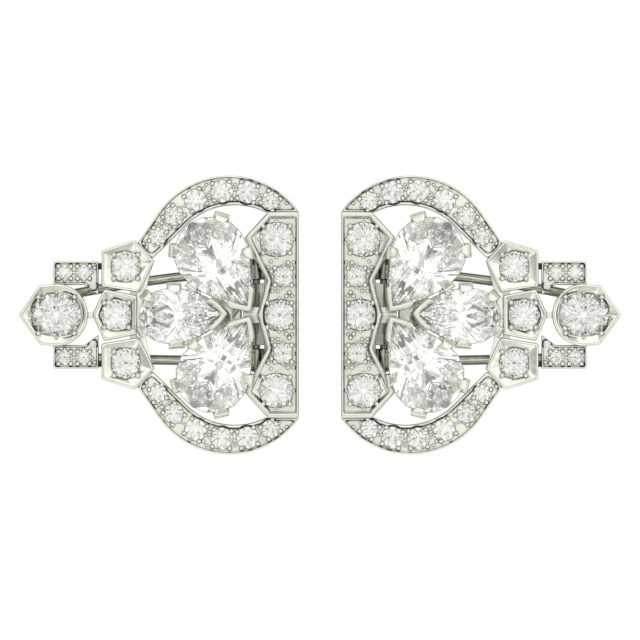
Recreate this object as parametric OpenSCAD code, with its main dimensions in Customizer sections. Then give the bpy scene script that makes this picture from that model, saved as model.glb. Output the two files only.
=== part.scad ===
// Double clip brooch: two mirror-image dress clips that lie flat edge to flat edge.
// Each clip has a pierced, stone-set frame in one piece, a setting for three pear stones
// on a bridge inside the frame, and a two-pronged fork hinged to the back.
// Millimetres. Front faces +Z, the clips lie side by side along X, and Z = 0 is the surface
// that the hinge barrels and the low points of the forks rest on.
// Sizes are given for one clip in its own plan: u runs from the flat edge out to the
// pointed end, and v runs across it, with v = 0 on the line through the three middle stones.

/* [Pair] */
// Distance between the two flat edges
clip_gap = 4.2; // [0.5:0.1:20]

/* [Frame] */
// Height of the frame's back above the surface it lies on
back_z = 3.0; // [2.9:0.05:3.3]
// Radius of the arch's outer edge
arch_r = 8.6; // [8.55:0.01:8.65]
// Radius of the arch's inner edge
arch_in_r = 6.8; // [6.75:0.01:6.85]
// Radius of the frame's inner edge beside the middle pear
heel_r = 14.5; // [14.4:0.05:14.6]
// Half the length of the straight bar at the flat edge
bar_half = 10.35; // [10.3:0.01:10.4]
// Width of the raised rim on the arches
arch_rim = 0.28; // [0.2:0.01:0.32]
// Width of the raised rim on the bar, the boxes and the end setting
wide_rim = 0.45; // [0.35:0.01:0.5]
// Depth of each stone bed below its rim
bed_depth = 0.25; // [0.15:0.01:0.3]

/* [Tops] */
// Height of the arches above the frame's back
arch_h = 2.05; // [1.9:0.05:2.2]
// Height of the bar above the frame's back
bar_h = 2.35; // [2.2:0.05:2.5]
// Height of the three boxes above the frame's back
box_h = 2.6; // [2.4:0.05:2.7]
// Height of the two side bars above the frame's back
side_h = 1.85; // [1.7:0.05:2.0]
// Height of the end setting above the frame's back
end_h = 2.9; // [2.7:0.05:3.1]

/* [Pear stones] */
// Radius of the round end of the two side pears
pear_r = 3.7; // [3.6:0.05:3.75]
// Distance from the centre of that round end to the point
pear_l = 6.75; // [6.6:0.05:6.85]
// Height of the side pears' girdle above the frame's back
pear_z = 4.0; // [3.95:0.05:4.1]
// Radius of the round end of the middle pear
mid_pear_r = 2.75; // [2.6:0.05:2.8]
// Distance from the centre of that round end to the point
mid_pear_l = 5.9; // [5.8:0.05:6]
// Height of the middle pear's girdle above the frame's back
mid_pear_z = 3.2; // [3.15:0.05:3.25]

/* [Fork] */
// Diameter of the prong wire
prong_d = 1.0; // [0.8:0.05:1.05]
// Distance of the hinge axis from the flat edge
hinge_u = 4.3; // [4.2:0.05:4.4]
// Radius of the hinge barrel, which is also the height of its axis
barrel_r = 1.2; // [1.1:0.05:1.2]
// Radius of the hinge pin
pin_r = 0.4; // [0.3:0.05:0.45]
// Angle that the fork is swung open
fork_open = 0; // [0:5:80]

/* [Hidden] */
$fn = 48;
SIDES = ["left", "right"];
METAL = ["frame", "pear_setting", "hinge_plate", "hinge_pin", "fork"];
STONES = ["end_stone", "upper_pear", "middle_pear", "lower_pear", "upper_box_stone",
          "middle_box_stone", "lower_box_stone", "bar_stone_1", "bar_stone_2",
          "bar_stone_3", "bar_stone_4", "bar_stone_5", "upper_arch_stones",
          "lower_arch_stones", "side_bar_stones"];

PLATINUM = [0.86, 0.86, 0.84];
WHITE_GOLD = [0.70, 0.69, 0.65];
DIAMOND = [0.93, 0.95, 0.97, 0.8];

// Clearance between a stone and the metal round it
stone_gap = 0.05;
// Running clearance between the hinge pin and its bores
pin_gap = 0.02;
// Overlap of solids that are one piece of metal
lap = 0.05;
// Depth of a cushion stone's own outline below its girdle
cushion_drop = 0.4;
// How far a cut runs on past the surface that it opens
through = 1;
// Degrees of an outline's arc from one point to the next
ARC_STEP = 3;
// Points round the outline of a ring or a cushion's seat
outline_points = 24;
box_wall = 0.5;
// A seat's cone and the hole behind it, as shares of the seat's radius: depth of the cone,
// radius at its foot, and radius of the hole
SEAT = [0.9, 0.3, 0.45];

// Plan of the arch: centres of its two edges, and the angle at which each edge's circle
// turns into a straight flank that runs on to the box
arch_c = [7.0, 5.35];
arch_in_c = [6.4, 4.17];
arch_flank_a = 34.6;
arch_in_flank_a = 45.5;
arch_in_end_a = 118;
heel_c = [1.0, 0];
heel_a = 22;
heel_w = 0.9;
heel_h = 1.8;

// Corners of the bar's zigzag edge from its middle to its end
ZIGZAG = [[4.2, 0], [3.2, 3.4], [5.5, 7.7], [3.2, 10.2]];
// The bar's bed: half its length, its width at the ends, and how far its corners lie inside
// the zigzag's at the middle, beside it and at the outward corners
bed_half = 9.6;
bed_end_u = 2.95;
BED_IN = [0.7, wide_rim + 0.1, 0.75];
// Corners of the upper box, whose mirror image is the lower box
UPPER_BOX = [[19.75, 6.45], [16.4, 7.5], [14.45, 5.4], [15.95, 2.25], [19.75, 2.85]];
MIDDLE_BOX = [[20.65, 0], [19.5, 2.6], [16.2, 1.95], [16.2, -1.95], [19.5, -2.6]];
// Corners of the upper side bar, with the small spur that points to the middle box
SIDE_BAR = [[20.05, 5.4], [20.05, 1.95], [21.4, 3.0], [24.6, 3.0], [24.6, 5.4]];
end_c = [24.2, 0];
end_r = 3.1;
end_point = [28.05, 0];
end_corner = [25.9, 3.0];
// How far the end setting's tip and corner move inwards for each millimetre of rim
tip_miter = 1.4;
corner_miter = [0.45, 1];
// Angle from the corner to the start of the end setting's round side
end_blend_a = 10;

// Struts that tie the frame's parts together: lowest u and v, height above the frame's back,
// and size along u, v and z. The side and box struts have mirror images.
SIDE_STRUT = [19.5, 4.55, 0.4, 0.75, 0.65, 0.8];
BOX_STRUT = [15.9, 1.6, 0, 1.0, 1.1, 1.6];
END_STRUT = [20.0, -0.3, 0, 1.3, 0.6, 1.7];

// Round stones of the upper arch: u, v and diameter
ARCH_STONES = [[14.12, 7.85, 1.80], [12.52, 9.88, 2.05], [10.35, 11.48, 2.25],
               [7.72, 12.38, 2.30], [5.15, 12.28, 2.25], [2.85, 11.42, 1.90]];
// Stones of the bar: u, v, size along u and size along v
BAR_STONES = [[2.25, 7.55, 3.35, 3.45], [1.58, 3.85, 2.00, 2.15], [1.98, 0, 2.95, 3.20],
              [1.58, -3.85, 2.00, 2.15], [2.25, -7.55, 3.35, 3.45]];
// Stones of the upper side bar: u, v and diameter
SIDE_STONES = [[23.45, 4.25, 1.60], [21.55, 4.25, 1.60], [20.62, 2.92, 0.75]];
// Stones of the boxes: u, v, size along u and size along v
BOX_STONES = [[17.30, 4.85, 2.90, 3.10], [18.25, 0, 3.00, 3.20], [17.30, -4.85, 2.90, 3.10]];
END_STONE = [24.25, 0, 5.00, 4.30];

// Proportions of a cut stone, as shares of its half width: table, star points, lower
// facets and open culet, then crown height, pavilion depth and girdle as shares of width
CUT = [0.52, 0.74, 0.46, 0.09];
crown_share = 0.165;
pavilion_share = 0.42;
girdle_share = 0.025;
// Table and culet of a small stone, as shares of its half width
SMALL_CUT = [0.6, 0.12];
cushion_power = 2.6;
main_facets = 8;
pear_facets = 12;

// The three pears: u and v of the head's centre, direction of the point, then the angle
// from that direction at which the head's circle runs into the side, and the girdle height.
// The lower pear is given as if it lay above, and is mirrored into place.
UPPER = 0;
MIDDLE = 1;
LOWER = 2;
PEARS = [[8.80, 6.15, -124.5, 72, pear_z], [13.25, -0.12, 177.5, 100, mid_pear_z],
         [8.65, 6.10, -122.4, 72, pear_z]];
FORMS = [["pear", pear_r, pear_l, PEARS[UPPER][3]], ["pear", mid_pear_r, mid_pear_l, PEARS[MIDDLE][3]],
         ["pear", pear_r, pear_l, PEARS[LOWER][3]]];
// Claws round each pear: the way each faces, from the direction of the stone's point, its
// shift along the girdle towards the point, and its width
CLAWS = [[[-129, 0, 1.65], [129, 0, 1.50], [70, 0.38, 1.30], [-68, 0.80, 1.50]],
         [[-88, 0.80, 1.50], [88, 0.80, 1.65], [-132, 0, 1.20], [151, 0, 1.20]],
         [[-134, 0, 1.65], [137, 0, 1.50], [70, 0.38, 1.30], [-70, 0.40, 1.40]]];
// Length of the point claw along each pear
POINT_ARM = [1.7, 1.5, 1.7];
// A claw: its thickness, how far its lip reaches in over the girdle, the height of its
// shoulder above the girdle, the depth below it of its knee, and the lip's thickness at its
// root and end
claw_t = 0.45;
claw_lip = 0.4;
claw_over = 0.30;
claw_knee = 0.25;
LIP_T = [0.22, 0.16];
// A point claw: its thickness, how far its lip reaches in, its depth below the girdle, its
// whole height, and the lip's height above the girdle and its thickness
point_claw_t = 0.33;
point_claw_lip = 0.36;
point_claw_drop = 0.9;
point_claw_h = 1.5;
point_lip_z = 0.36;
point_lip_t = 0.26;
// The leg under a pear's point: its size along the pear and across it, how far it stands
// inside the point, and its top's depth below the girdle
LEG = [0.75, 0.6];
leg_in = 0.55;
leg_drop = 0.6;
// The foot that joins the leg to the lower ring: its width, and how far its top lies below
// the ring's
foot_w = 0.5;
foot_step = 0.03;
// Rings under each pear, as shares of its outline: lower ring outside, inside, then upper
LOW_RING = [0.62, 0.48];
HIGH_RING = [0.93, 0.80];
low_ring_h = 0.5;
high_ring_h = 0.35;
// Depth of the upper ring's top below the girdle, as a share of the head's radius
high_ring_drop = 0.26;
// Tongues of the frame that the pear setting stands on: height, half width, how far the one
// at the bar and the one at the heel reach, and how deep each is rooted in the frame
tongue_h = 0.5;
tongue_w = 0.8;
bar_tongue_u = 5.6;
heel_tongue_u = 13.4;
bar_root = 0.5;
heel_root = 0.3;
// Place along the clip, width, half length and height of the arm that joins the three baskets
basket_arm = [9.83, 0.97, 4.63, 0.41];

// Hinge: its middle across the clip, half length of the fixed barrel, and where the moving
// barrels beside it begin and end
hinge_v = 0.08;
fixed_half = 3.10;
moving_in = 3.46;
moving_out = 5.75;
// How far the pin stands out of the barrels at each end
pin_over = 0.1;
// The leaf on the back of the bar: its place from the flat edge, its width and thickness,
// and the place of the web that joins it to the barrel, with the gap above the web
leaf_u = 0.6;
leaf_w = 2.9;
leaf_t = 0.5;
web_u = 2.4;
web_gap = 0.1;
// The fork's plate, from and to, along the clip and in height, and the height of the
// knuckles that join it to the moving barrels
plate_u = [5.75, 8.3];
plate_z = [0.72, 1.48];
knuckle_h = 1.1;
// The prongs' root in the plate, their low point, where they touch the surface, and their tips
prong_u = 7.4;
prong_z = 1.1;
low_u = 14.0;
tip_u = 24.4;
tip_z = 2.33;
// Each prong across the clip: at the plate, and at the tip
UPPER_PRONG = [4.15, 1.75];
LOWER_PRONG = [-4.6, -4.2];
prong_bend = 1.5;
prong_rings = 16;
prong_sides = 10;
// Share of a prong's length at which it starts to round off, and the square of the share of
// its radius that is left at the very end
nose_t = 0.97;
nose_end = 0.06;

function arc(c, r, from, to) = let (n = ceil(abs(to - from) / ARC_STEP))
    [for (i = [0 : n]) let (a = from + (to - from) * i / n) c + r * [cos(a), sin(a)]];
function flipped(points) = [for (i = [len(points) - 1 : -1 : 0]) [points[i].x, -points[i].y]];
// The point where two lines meet, each given by its unit normal and its distance from 0
function meet(m, d, n, e) = [d * n.y - e * m.y, e * m.x - d * n.x] / (m.x * n.y - m.y * n.x);
// Where the tangent to a circle at angle a meets the line at distance e along normal n
function flank(c, r, a, n, e) = let (m = [cos(a), sin(a)]) meet(m, c * m + r, n, e);
// Where a circle crosses a given v on the side nearer the flat edge, as an angle
function level_angle(c, r, v) = 180 - asin((v - c.y) / r);

// A corner of a closed outline moved inwards so that both its edges move by d
function inset_corner(p, q, r, d) = let (
        a = (q - p) / norm(q - p), b = (r - q) / norm(r - q),
        na = [-a.y, a.x], nb = [-b.y, b.x])
    q + d * (na + nb) / (1 + na * nb);
// An outline that runs counter-clockwise, made smaller by d all round
function inset(points, d) = let (n = len(points))
    [for (i = [0 : n - 1])
        inset_corner(points[(i + n - 1) % n], points[i], points[(i + 1) % n], d)];

// Outlines, each counter-clockwise in plan
function arch_outline(rim) = let (
        base = bar_half + rim,
        outer = arch_r - rim, inner = arch_in_r + rim,
        low = level_angle(arch_c, outer, base), in_low = level_angle(arch_in_c, inner, base),
        wall = UPPER_BOX[1] - UPPER_BOX[2], n = [-wall.y, wall.x] / norm(wall),
        end = UPPER_BOX[2] * n + (rim > 0 ? rim : -box_wall / 2))
    concat([flank(arch_c, outer, arch_flank_a, n, end)],
           arc(arch_c, outer, arch_flank_a, low),
           arc(arch_in_c, inner, min(in_low, arch_in_end_a), arch_in_flank_a),
           [flank(arch_in_c, inner, arch_in_flank_a, n, end)]);
function bar_outline() = concat([[0, -bar_half]], [[ZIGZAG[3].x, -bar_half]],
    flipped(ZIGZAG), [for (i = [1 : 3]) ZIGZAG[i]], [[ZIGZAG[3].x, bar_half], [0, bar_half]]);
function bar_bed() = let (
        upper = [[ZIGZAG[1].x - BED_IN[1], ZIGZAG[1].y + lap],
                 [ZIGZAG[2].x - BED_IN[2], ZIGZAG[2].y], [bed_end_u, bed_half], [BED_IN[1], bed_half]])
    concat(flipped(upper), [[ZIGZAG[0].x - BED_IN[0], 0]], upper);
function end_outline(rim) = let (
        a = asin((end_corner.y - end_c.y) / end_r), r = end_r - rim,
        tip = end_point - [tip_miter * rim, 0], corner = end_corner - rim * corner_miter)
    concat([tip, corner], arc(end_c, r, a + end_blend_a, 360 - end_blend_a - a),
           [[corner.x, -corner.y]]);

// Distance from the centre of a stone to its girdle in direction a.
// A pear is a circle of radius R, and two long arcs that leave it at angle p from the
// direction of its point and meet there, L from the centre.
function long_arc_r(R, L, p) = (2 * L * R * cos(p) - L * L - R * R) / (2 * (L * cos(p) - R));
function pear_edge(a, R, L, p) = let (w = abs(a > 180 ? a - 360 : a))
    w >= p ? R : let (S = long_arc_r(R, L, p), c = S - R, d = -c * cos(w - p))
        d + sqrt(S * S - c * c + d * d);
// The furthest that a pear reaches from its centre in direction w
function pear_reach(form, w) = let (R = form[1], S = long_arc_r(R, form[2], form[3]))
    abs(w) >= form[3] ? R : S - (S - R) * cos(abs(w) - form[3]);
function cushion_edge(a, A, B) = pow(pow(abs(cos(a)) / A, cushion_power)
    + pow(abs(sin(a)) / B, cushion_power), -1 / cushion_power);
// A form is ["pear", R, L, p], ["cushion", half length, half width] or ["round", radius]
function edge(form, a) = form[0] == "pear" ? pear_edge(a, form[1], form[2], form[3])
    : form[0] == "cushion" ? cushion_edge(a, form[1], form[2]) : form[1];
function outline(form, share, grow, n) = [for (i = [0 : n - 1]) let (a = 360 * i / n)
    (share * edge(form, a) + grow) * [cos(a), sin(a)]];
function ring(form, share, z, n, turn) = [for (i = [0 : n - 1])
    let (a = 360 * (i + turn) / n, r = share * edge(form, a)) [r * cos(a), r * sin(a), z]];

// Brilliant-cut stone with n main facets, its girdle at z = 0
module brilliant(form, n) {
    w = form[0] == "cushion" ? form[1] + form[2] : 2 * form[1];
    t = CUT[0];
    s = CUT[1];
    l = CUT[2];
    c = CUT[3];
    h = cos(180 / n);
    g = girdle_share * w / 2;
    crown = crown_share * w;
    culet = -pavilion_share * w;
    star_z = crown + (g - crown) * (s * h - t) / (1 - t);
    lower_z = -g + (culet + g) * (1 - l * h) / (1 - c * h);
    T = 0; S = n; G = 2 * n; B = 4 * n; W = 6 * n; C = 7 * n;
    points = concat(ring(form, t, crown, n, 0), ring(form, s, star_z, n, 0.5),
                    ring(form, 1, g, 2 * n, 0), ring(form, 1, -g, 2 * n, 0),
                    ring(form, l, lower_z, n, 0.5), ring(form, c, culet, n, 0.5));
    faces = concat(
        [[for (i = [n - 1 : -1 : 0]) T + i]],
        [for (i = [0 : n - 1]) [T + i, T + (i + 1) % n, S + i]],
        [for (i = [0 : n - 1]) [T + i, S + i, G + 2 * i]],
        [for (i = [0 : n - 1]) [T + i, G + 2 * i, S + (i + n - 1) % n]],
        [for (i = [0 : n - 1]) [S + i, G + 2 * i + 1, G + 2 * i]],
        [for (i = [0 : n - 1]) [S + i, G + (2 * i + 2) % (2 * n), G + 2 * i + 1]],
        [for (j = [0 : 2 * n - 1]) [G + j, G + (j + 1) % (2 * n), B + j]],
        [for (j = [0 : 2 * n - 1]) [G + (j + 1) % (2 * n), B + (j + 1) % (2 * n), B + j]],
        [for (i = [0 : n - 1]) [W + i, B + 2 * i, B + 2 * i + 1]],
        [for (i = [0 : n - 1]) [W + i, B + 2 * i + 1, B + (2 * i + 2) % (2 * n)]],
        [for (i = [0 : n - 1]) [B + 2 * i, W + i, C + i]],
        [for (i = [0 : n - 1]) [B + 2 * i, C + i, C + (i + n - 1) % n]],
        [for (i = [0 : n - 1]) [B + 2 * i, C + (i + n - 1) % n, W + (i + n - 1) % n]],
        [[for (i = [0 : n - 1]) C + i]]);
    color(DIAMOND) polyhedron(points, faces, convexity = 2);
}

// Small stone with eight facets above its girdle and eight below
module single_cut(r) {
    n = main_facets;
    form = ["round", r];
    g = girdle_share * r;
    points = concat(ring(form, SMALL_CUT[0], 2 * crown_share * r, n, 0),
                    ring(form, 1, g, n, 0), ring(form, 1, -g, n, 0),
                    ring(form, SMALL_CUT[1], -2 * pavilion_share * r, n, 0));
    sides = [for (k = [0 : 2]) for (i = [0 : n - 1])
        [k * n + i, k * n + (i + 1) % n, (k + 1) * n + (i + 1) % n, (k + 1) * n + i]];
    faces = concat([[for (i = [n - 1 : -1 : 0]) i]], sides, [[for (i = [0 : n - 1]) 3 * n + i]]);
    color(DIAMOND) polyhedron(points, faces, convexity = 2);
}

module at(u, v, z) { translate([u, v, z]) children(); }
module both_sides() { children(); mirror([0, 1, 0]) children(); }
module slab(points, z, h) { translate([0, 0, z]) linear_extrude(height = h) polygon(points); }

// The hole that seats a stone: a cone under the girdle, and a hole out through the back
module seat(u, v, r, bed_z) {
    deep = SEAT[0] * r;
    at(u, v, back_z - through) cylinder(r = SEAT[2] * r, h = bed_z - back_z + through);
    at(u, v, bed_z - deep) cylinder(r1 = SEAT[1] * r, r2 = r, h = deep);
    at(u, v, bed_z - lap) cylinder(r = r, h = through);
}
module round_seat(s, bed_z) { seat(s[0], s[1], s[2] / 2 + stone_gap, bed_z); }
// A cushion's seat has its outline down to a little below the girdle
module cushion_seat(s, bed_z) {
    seat(s[0], s[1], max(s[2], s[3]) / 2 + stone_gap, bed_z);
    at(s[0], s[1], bed_z - cushion_drop)
        slab(outline(["cushion", s[2] / 2, s[3] / 2], 1, stone_gap, outline_points), 0, through);
}

arch_z = back_z + arch_h;
bar_z = back_z + bar_h;
box_z = back_z + box_h;
side_z = back_z + side_h;
end_z = back_z + end_h;

module arch_metal() {
    difference() {
        slab(arch_outline(0), back_z, arch_h);
        slab(arch_outline(arch_rim), arch_z - bed_depth, through);
        for (s = ARCH_STONES) round_seat(s, arch_z - bed_depth);
    }
}
module bar_metal() {
    difference() {
        slab(bar_outline(), back_z, bar_h);
        slab(bar_bed(), bar_z - bed_depth, through);
        for (s = BAR_STONES) cushion_seat(s, bar_z - bed_depth);
    }
}
module box_metal(corners, s) {
    difference() {
        slab(corners, back_z, box_h);
        slab(inset(corners, wide_rim), box_z - bed_depth, through);
        cushion_seat(s, box_z - bed_depth);
    }
}
module side_bar_metal() {
    difference() {
        slab(SIDE_BAR, back_z, side_h);
        slab(inset(SIDE_BAR, arch_rim), side_z - bed_depth, through);
        for (s = SIDE_STONES) round_seat(s, side_z - bed_depth);
    }
}
module end_metal() {
    difference() {
        slab(end_outline(0), back_z, end_h);
        slab(end_outline(wide_rim), end_z - bed_depth, through);
        cushion_seat(END_STONE, end_z - bed_depth);
    }
}
// The curved strip between the two arches, beside the middle pear
module heel_metal() {
    slab(concat(arc(heel_c, heel_r + heel_w, -heel_a, heel_a), arc(heel_c, heel_r, heel_a, -heel_a)),
         back_z, heel_h);
}
module strut(s) { at(s[0], s[1], back_z + s[2]) cube([s[3], s[4], s[5]]); }
module tongues() {
    bar_u = ZIGZAG[0].x - bar_root;
    heel_u = heel_c.x + heel_r + heel_root;
    at(bar_u, -tongue_w, back_z) cube([bar_tongue_u - bar_u, 2 * tongue_w, tongue_h]);
    at(heel_tongue_u, -tongue_w, back_z) cube([heel_u - heel_tongue_u, 2 * tongue_w, tongue_h]);
}
module frame() {
    color(PLATINUM) union() {
        both_sides() arch_metal();
        bar_metal();
        box_metal(UPPER_BOX, BOX_STONES[0]);
        box_metal(MIDDLE_BOX, BOX_STONES[1]);
        box_metal(flipped(UPPER_BOX), BOX_STONES[2]);
        both_sides() side_bar_metal();
        end_metal();
        heel_metal();
        both_sides() strut(SIDE_STRUT);
        both_sides() strut(BOX_STRUT);
        strut(END_STRUT);
        tongues();
    }
}

// A claw: a flat tab that rises under the stone, flares out along it, and folds in over
// the girdle. g is the distance of the girdle from the stone's centre, foot that of its foot.
module claw(g, foot, girdle_z, base_z, width) {
    rise = 2 * crown_share / (1 - CUT[0]);
    fall = 2 * pavilion_share / (1 - CUT[3]);
    gap = 2 * stone_gap;
    out = g + gap + claw_t;
    near = g + stone_gap;
    lip_z = girdle_z + claw_lip * rise + 2 * gap;
    bend_z = girdle_z - claw_knee - (out - foot - claw_t) * fall;
    profile = [
        [foot, base_z], [foot + claw_t, base_z], [foot + claw_t, bend_z], [out, girdle_z - claw_knee],
        [out, girdle_z + claw_over], [g + gap, lip_z + LIP_T[0]], [g - claw_lip, lip_z + LIP_T[1]],
        [g - claw_lip, lip_z], [near, girdle_z + gap], [near, girdle_z - gap],
        [foot, bend_z + gap]];
    translate([0, width / 2, 0]) rotate([90, 0, 0]) linear_extrude(height = width) polygon(profile);
}
// Plan of a strip that follows a pear's outline round its point, between two offsets from
// the girdle, as far back as the given angle to each side
function point_strip(form, from, to, back_a) = let (
        step = back_a / 6, as = [for (i = [-6 : 6]) i * step])
    concat([for (a = as) (edge(form, a) + to) * [cos(a), sin(a)]],
           [for (i = [6 : -1 : -6]) let (a = i * step) (edge(form, a) + from) * [cos(a), sin(a)]]);
// The angle from a pear's centre at which its side lies a given distance back from the point
function arm_angle(form, arm) = let (x = form[2] - arm, S = long_arc_r(form[1], form[2], form[3]),
        c = (S - form[1]) * [-cos(form[3]), -sin(form[3])])
    atan2(c.y + sqrt(S * S - (x - c.x) * (x - c.x)), x);
// The two-legged claw that guards a pear's point, and folds in over it
module point_claw(form, girdle_z, arm) {
    back_a = arm_angle(form, arm);
    slab(point_strip(form, stone_gap, stone_gap + point_claw_t, back_a),
         girdle_z - point_claw_drop, point_claw_h);
    slab(point_strip(form, -point_claw_lip, stone_gap + 2 * lap, back_a),
         girdle_z + point_lip_z, point_lip_t);
}
// A flat ring that follows a pear's outline
module pear_ring(form, shares, z, h) {
    difference() {
        slab(outline(form, shares[0], 0, outline_points), z, h);
        slab(outline(form, shares[1], 0, outline_points), z - through, h + 2 * through);
    }
}
// The open basket under one pear, with its claws
module basket(form, girdle_z, base_z, claws, arm) {
    pear_ring(form, LOW_RING, base_z, low_ring_h);
    pear_ring(form, HIGH_RING, girdle_z - high_ring_drop * form[1] - high_ring_h, high_ring_h);
    for (c = claws) {
        g = pear_reach(form, c[0]);
        rotate([0, 0, c[0]]) translate([0, -sign(c[0]) * c[1], 0])
            claw(g, LOW_RING[0] * form[1] - claw_t, girdle_z, base_z, c[2]);
    }
    point_claw(form, girdle_z, arm);
    // A leg under the point carries the point claw
    foot_x = LOW_RING[1] * form[2] + lap;
    leg_x = form[2] - leg_in;
    at(foot_x, -foot_w / 2, base_z) cube([leg_x - foot_x + 2 * lap, foot_w, low_ring_h - foot_step]);
    at(leg_x, -LEG.y / 2, base_z) cube([LEG.x, LEG.y, girdle_z - base_z - leg_drop]);
}
module lay_pear(i) {
    p = PEARS[i];
    mirror([0, i == LOWER ? 1 : 0, 0]) translate([p[0], p[1], 0]) rotate([0, 0, p[2]]) children();
}
module pear_setting() {
    base_z = back_z + tongue_h;
    color(PLATINUM) union() {
        for (i = [UPPER, MIDDLE, LOWER]) lay_pear(i)
            basket(FORMS[i], back_z + PEARS[i][4], base_z, CLAWS[i], POINT_ARM[i]);
        at(basket_arm[0], -basket_arm[2], base_z)
            cube([basket_arm[1], 2 * basket_arm[2], basket_arm[3]]);
    }
}

// Things on the hinge are drawn along the hinge pin, from the middle of the hinge
module on_hinge() { translate([hinge_u, hinge_v, barrel_r]) rotate([-90, 0, 0]) children(); }
module barrel(from, to) {
    on_hinge() translate([0, 0, from]) cylinder(r = barrel_r, h = to - from);
}
module pin_hole() { on_hinge() cylinder(r = pin_r + pin_gap, h = 3 * moving_out, center = true); }
// The leaf fixed to the back of the bar, with the fixed barrel of the hinge
module hinge_plate() {
    color(WHITE_GOLD) difference() {
        union() {
            at(leaf_u, hinge_v - moving_out, back_z - leaf_t) cube([leaf_w, 2 * moving_out, leaf_t]);
            at(web_u, hinge_v - fixed_half, barrel_r)
                cube([hinge_u - web_u, 2 * fixed_half, back_z - barrel_r - web_gap]);
            barrel(-fixed_half, fixed_half);
        }
        pin_hole();
    }
}
module hinge_pin() {
    color(WHITE_GOLD) on_hinge() cylinder(r = pin_r, h = 2 * (moving_out + pin_over), center = true);
}

// Height of a prong's centre line at u: it dips to touch the surface and rises to the tip
function prong_height(u) = let (low = prong_d / 2)
    u < low_u ? low + (prong_z - low) * pow((low_u - u) / (low_u - prong_u), 2)
              : low + (tip_z - low) * pow((u - low_u) / (tip_u - low_u), 2);
function prong_point(t, across) = let (u = prong_u + (tip_u - prong_u) * t)
    [u, across[0] + (across[1] - across[0]) * pow(t, prong_bend), prong_height(u)];
// Radius along a prong: full, and rounded off at its end
function prong_radius(t) = let (s = (t - nose_t) / (1 - nose_t))
    prong_d / 2 * (s < 0 ? 1 : sqrt(max(nose_end, 1 - s * s)));
module prong(across) {
    n = prong_sides;
    stops = [for (i = [0 : prong_rings - 1]) nose_t * i / (prong_rings - 1)];
    ts = concat(stops, [(1 + nose_t) / 2, 1]);
    m = len(ts);
    ahead = 0.01;
    points = [for (t = ts) let (
            p = prong_point(t, across), q = prong_point(t + ahead, across),
            d = (q - p) / norm(q - p), side = [-d.y, d.x, 0] / norm([d.x, d.y]),
            up = cross(d, side))
        for (i = [0 : n - 1]) let (a = 360 * i / n)
            p + prong_radius(t) * (cos(a) * side + sin(a) * up)];
    faces = concat(
        [for (k = [0 : m - 2]) for (i = [0 : n - 1])
            [k * n + i, (k + 1) * n + (i + 1) % n, k * n + (i + 1) % n]],
        [for (k = [0 : m - 2]) for (i = [0 : n - 1])
            [k * n + i, (k + 1) * n + i, (k + 1) * n + (i + 1) % n]],
        [[for (i = [0 : n - 1]) i]],
        [[for (i = [n - 1 : -1 : 0]) (m - 1) * n + i]]);
    polyhedron(points, faces, convexity = 4);
}
module fork() {
    arm = moving_out - moving_in;
    color(WHITE_GOLD)
    translate([hinge_u, 0, barrel_r]) rotate([0, fork_open, 0]) translate([-hinge_u, 0, -barrel_r])
    difference() {
        union() {
            for (from = [moving_in, -moving_out]) {
                barrel(from, from + arm);
                at(hinge_u, hinge_v + from, plate_z[0]) cube([plate_u[0] - hinge_u + lap, arm, knuckle_h]);
            }
            at(plate_u[0], hinge_v - moving_out, plate_z[0])
                cube([plate_u[1] - plate_u[0], 2 * moving_out, plate_z[1] - plate_z[0]]);
            prong(UPPER_PRONG);
            prong(LOWER_PRONG);
        }
        pin_hole();
    }
}

module pear_stone(i) { lay_pear(i) at(0, 0, back_z + PEARS[i][4]) brilliant(FORMS[i], pear_facets); }
module cushion(s, z) { at(s[0], s[1], z) brilliant(["cushion", s[2] / 2, s[3] / 2], main_facets); }
module arch_stones() {
    for (s = ARCH_STONES) at(s[0], s[1], arch_z - bed_depth) brilliant(["round", s[2] / 2], main_facets);
}
module side_bar_stones() {
    both_sides() for (s = SIDE_STONES) at(s[0], s[1], side_z - bed_depth) single_cut(s[2] / 2);
}

// One piece of a clip, in the plan of the clip
module piece(name) {
    if (name == "frame") frame();
    if (name == "pear_setting") pear_setting();
    if (name == "hinge_plate") hinge_plate();
    if (name == "hinge_pin") hinge_pin();
    if (name == "fork") fork();
    if (name == "end_stone") cushion(END_STONE, end_z - bed_depth);
    if (name == "upper_pear") pear_stone(UPPER);
    if (name == "middle_pear") pear_stone(MIDDLE);
    if (name == "lower_pear") pear_stone(LOWER);
    if (name == "upper_box_stone") cushion(BOX_STONES[0], box_z - bed_depth);
    if (name == "middle_box_stone") cushion(BOX_STONES[1], box_z - bed_depth);
    if (name == "lower_box_stone") cushion(BOX_STONES[2], box_z - bed_depth);
    for (i = [0 : 4]) if (name == str("bar_stone_", i + 1)) cushion(BAR_STONES[i], bar_z - bed_depth);
    if (name == "upper_arch_stones") arch_stones();
    if (name == "lower_arch_stones") mirror([0, 1, 0]) arch_stones();
    if (name == "side_bar_stones") side_bar_stones();
}

// The right clip points to +X, and the left clip is its mirror image
module placed(side) {
    if (side == "right") translate([clip_gap / 2, 0, 0]) children();
    else mirror([1, 0, 0]) translate([clip_gap / 2, 0, 0]) children();
}

for (side = SIDES) for (name = concat(METAL, STONES))
    placed(side) piece(name);
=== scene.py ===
"""Looks of a double clip brooch: two mirror-image clips of platinum set with diamonds.

Sizes are millimetres in the plan of one clip, and become metres when a mesh is made: u runs
from the flat edge out to the pointed end, v runs across the clip, and z is the height above
the surface that the clips lie on. The right clip's x is half the gap plus u, and the left
clip is its mirror image.
"""

from __future__ import annotations

import logging
import math
from dataclasses import dataclass, field, replace
from enum import Enum

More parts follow.
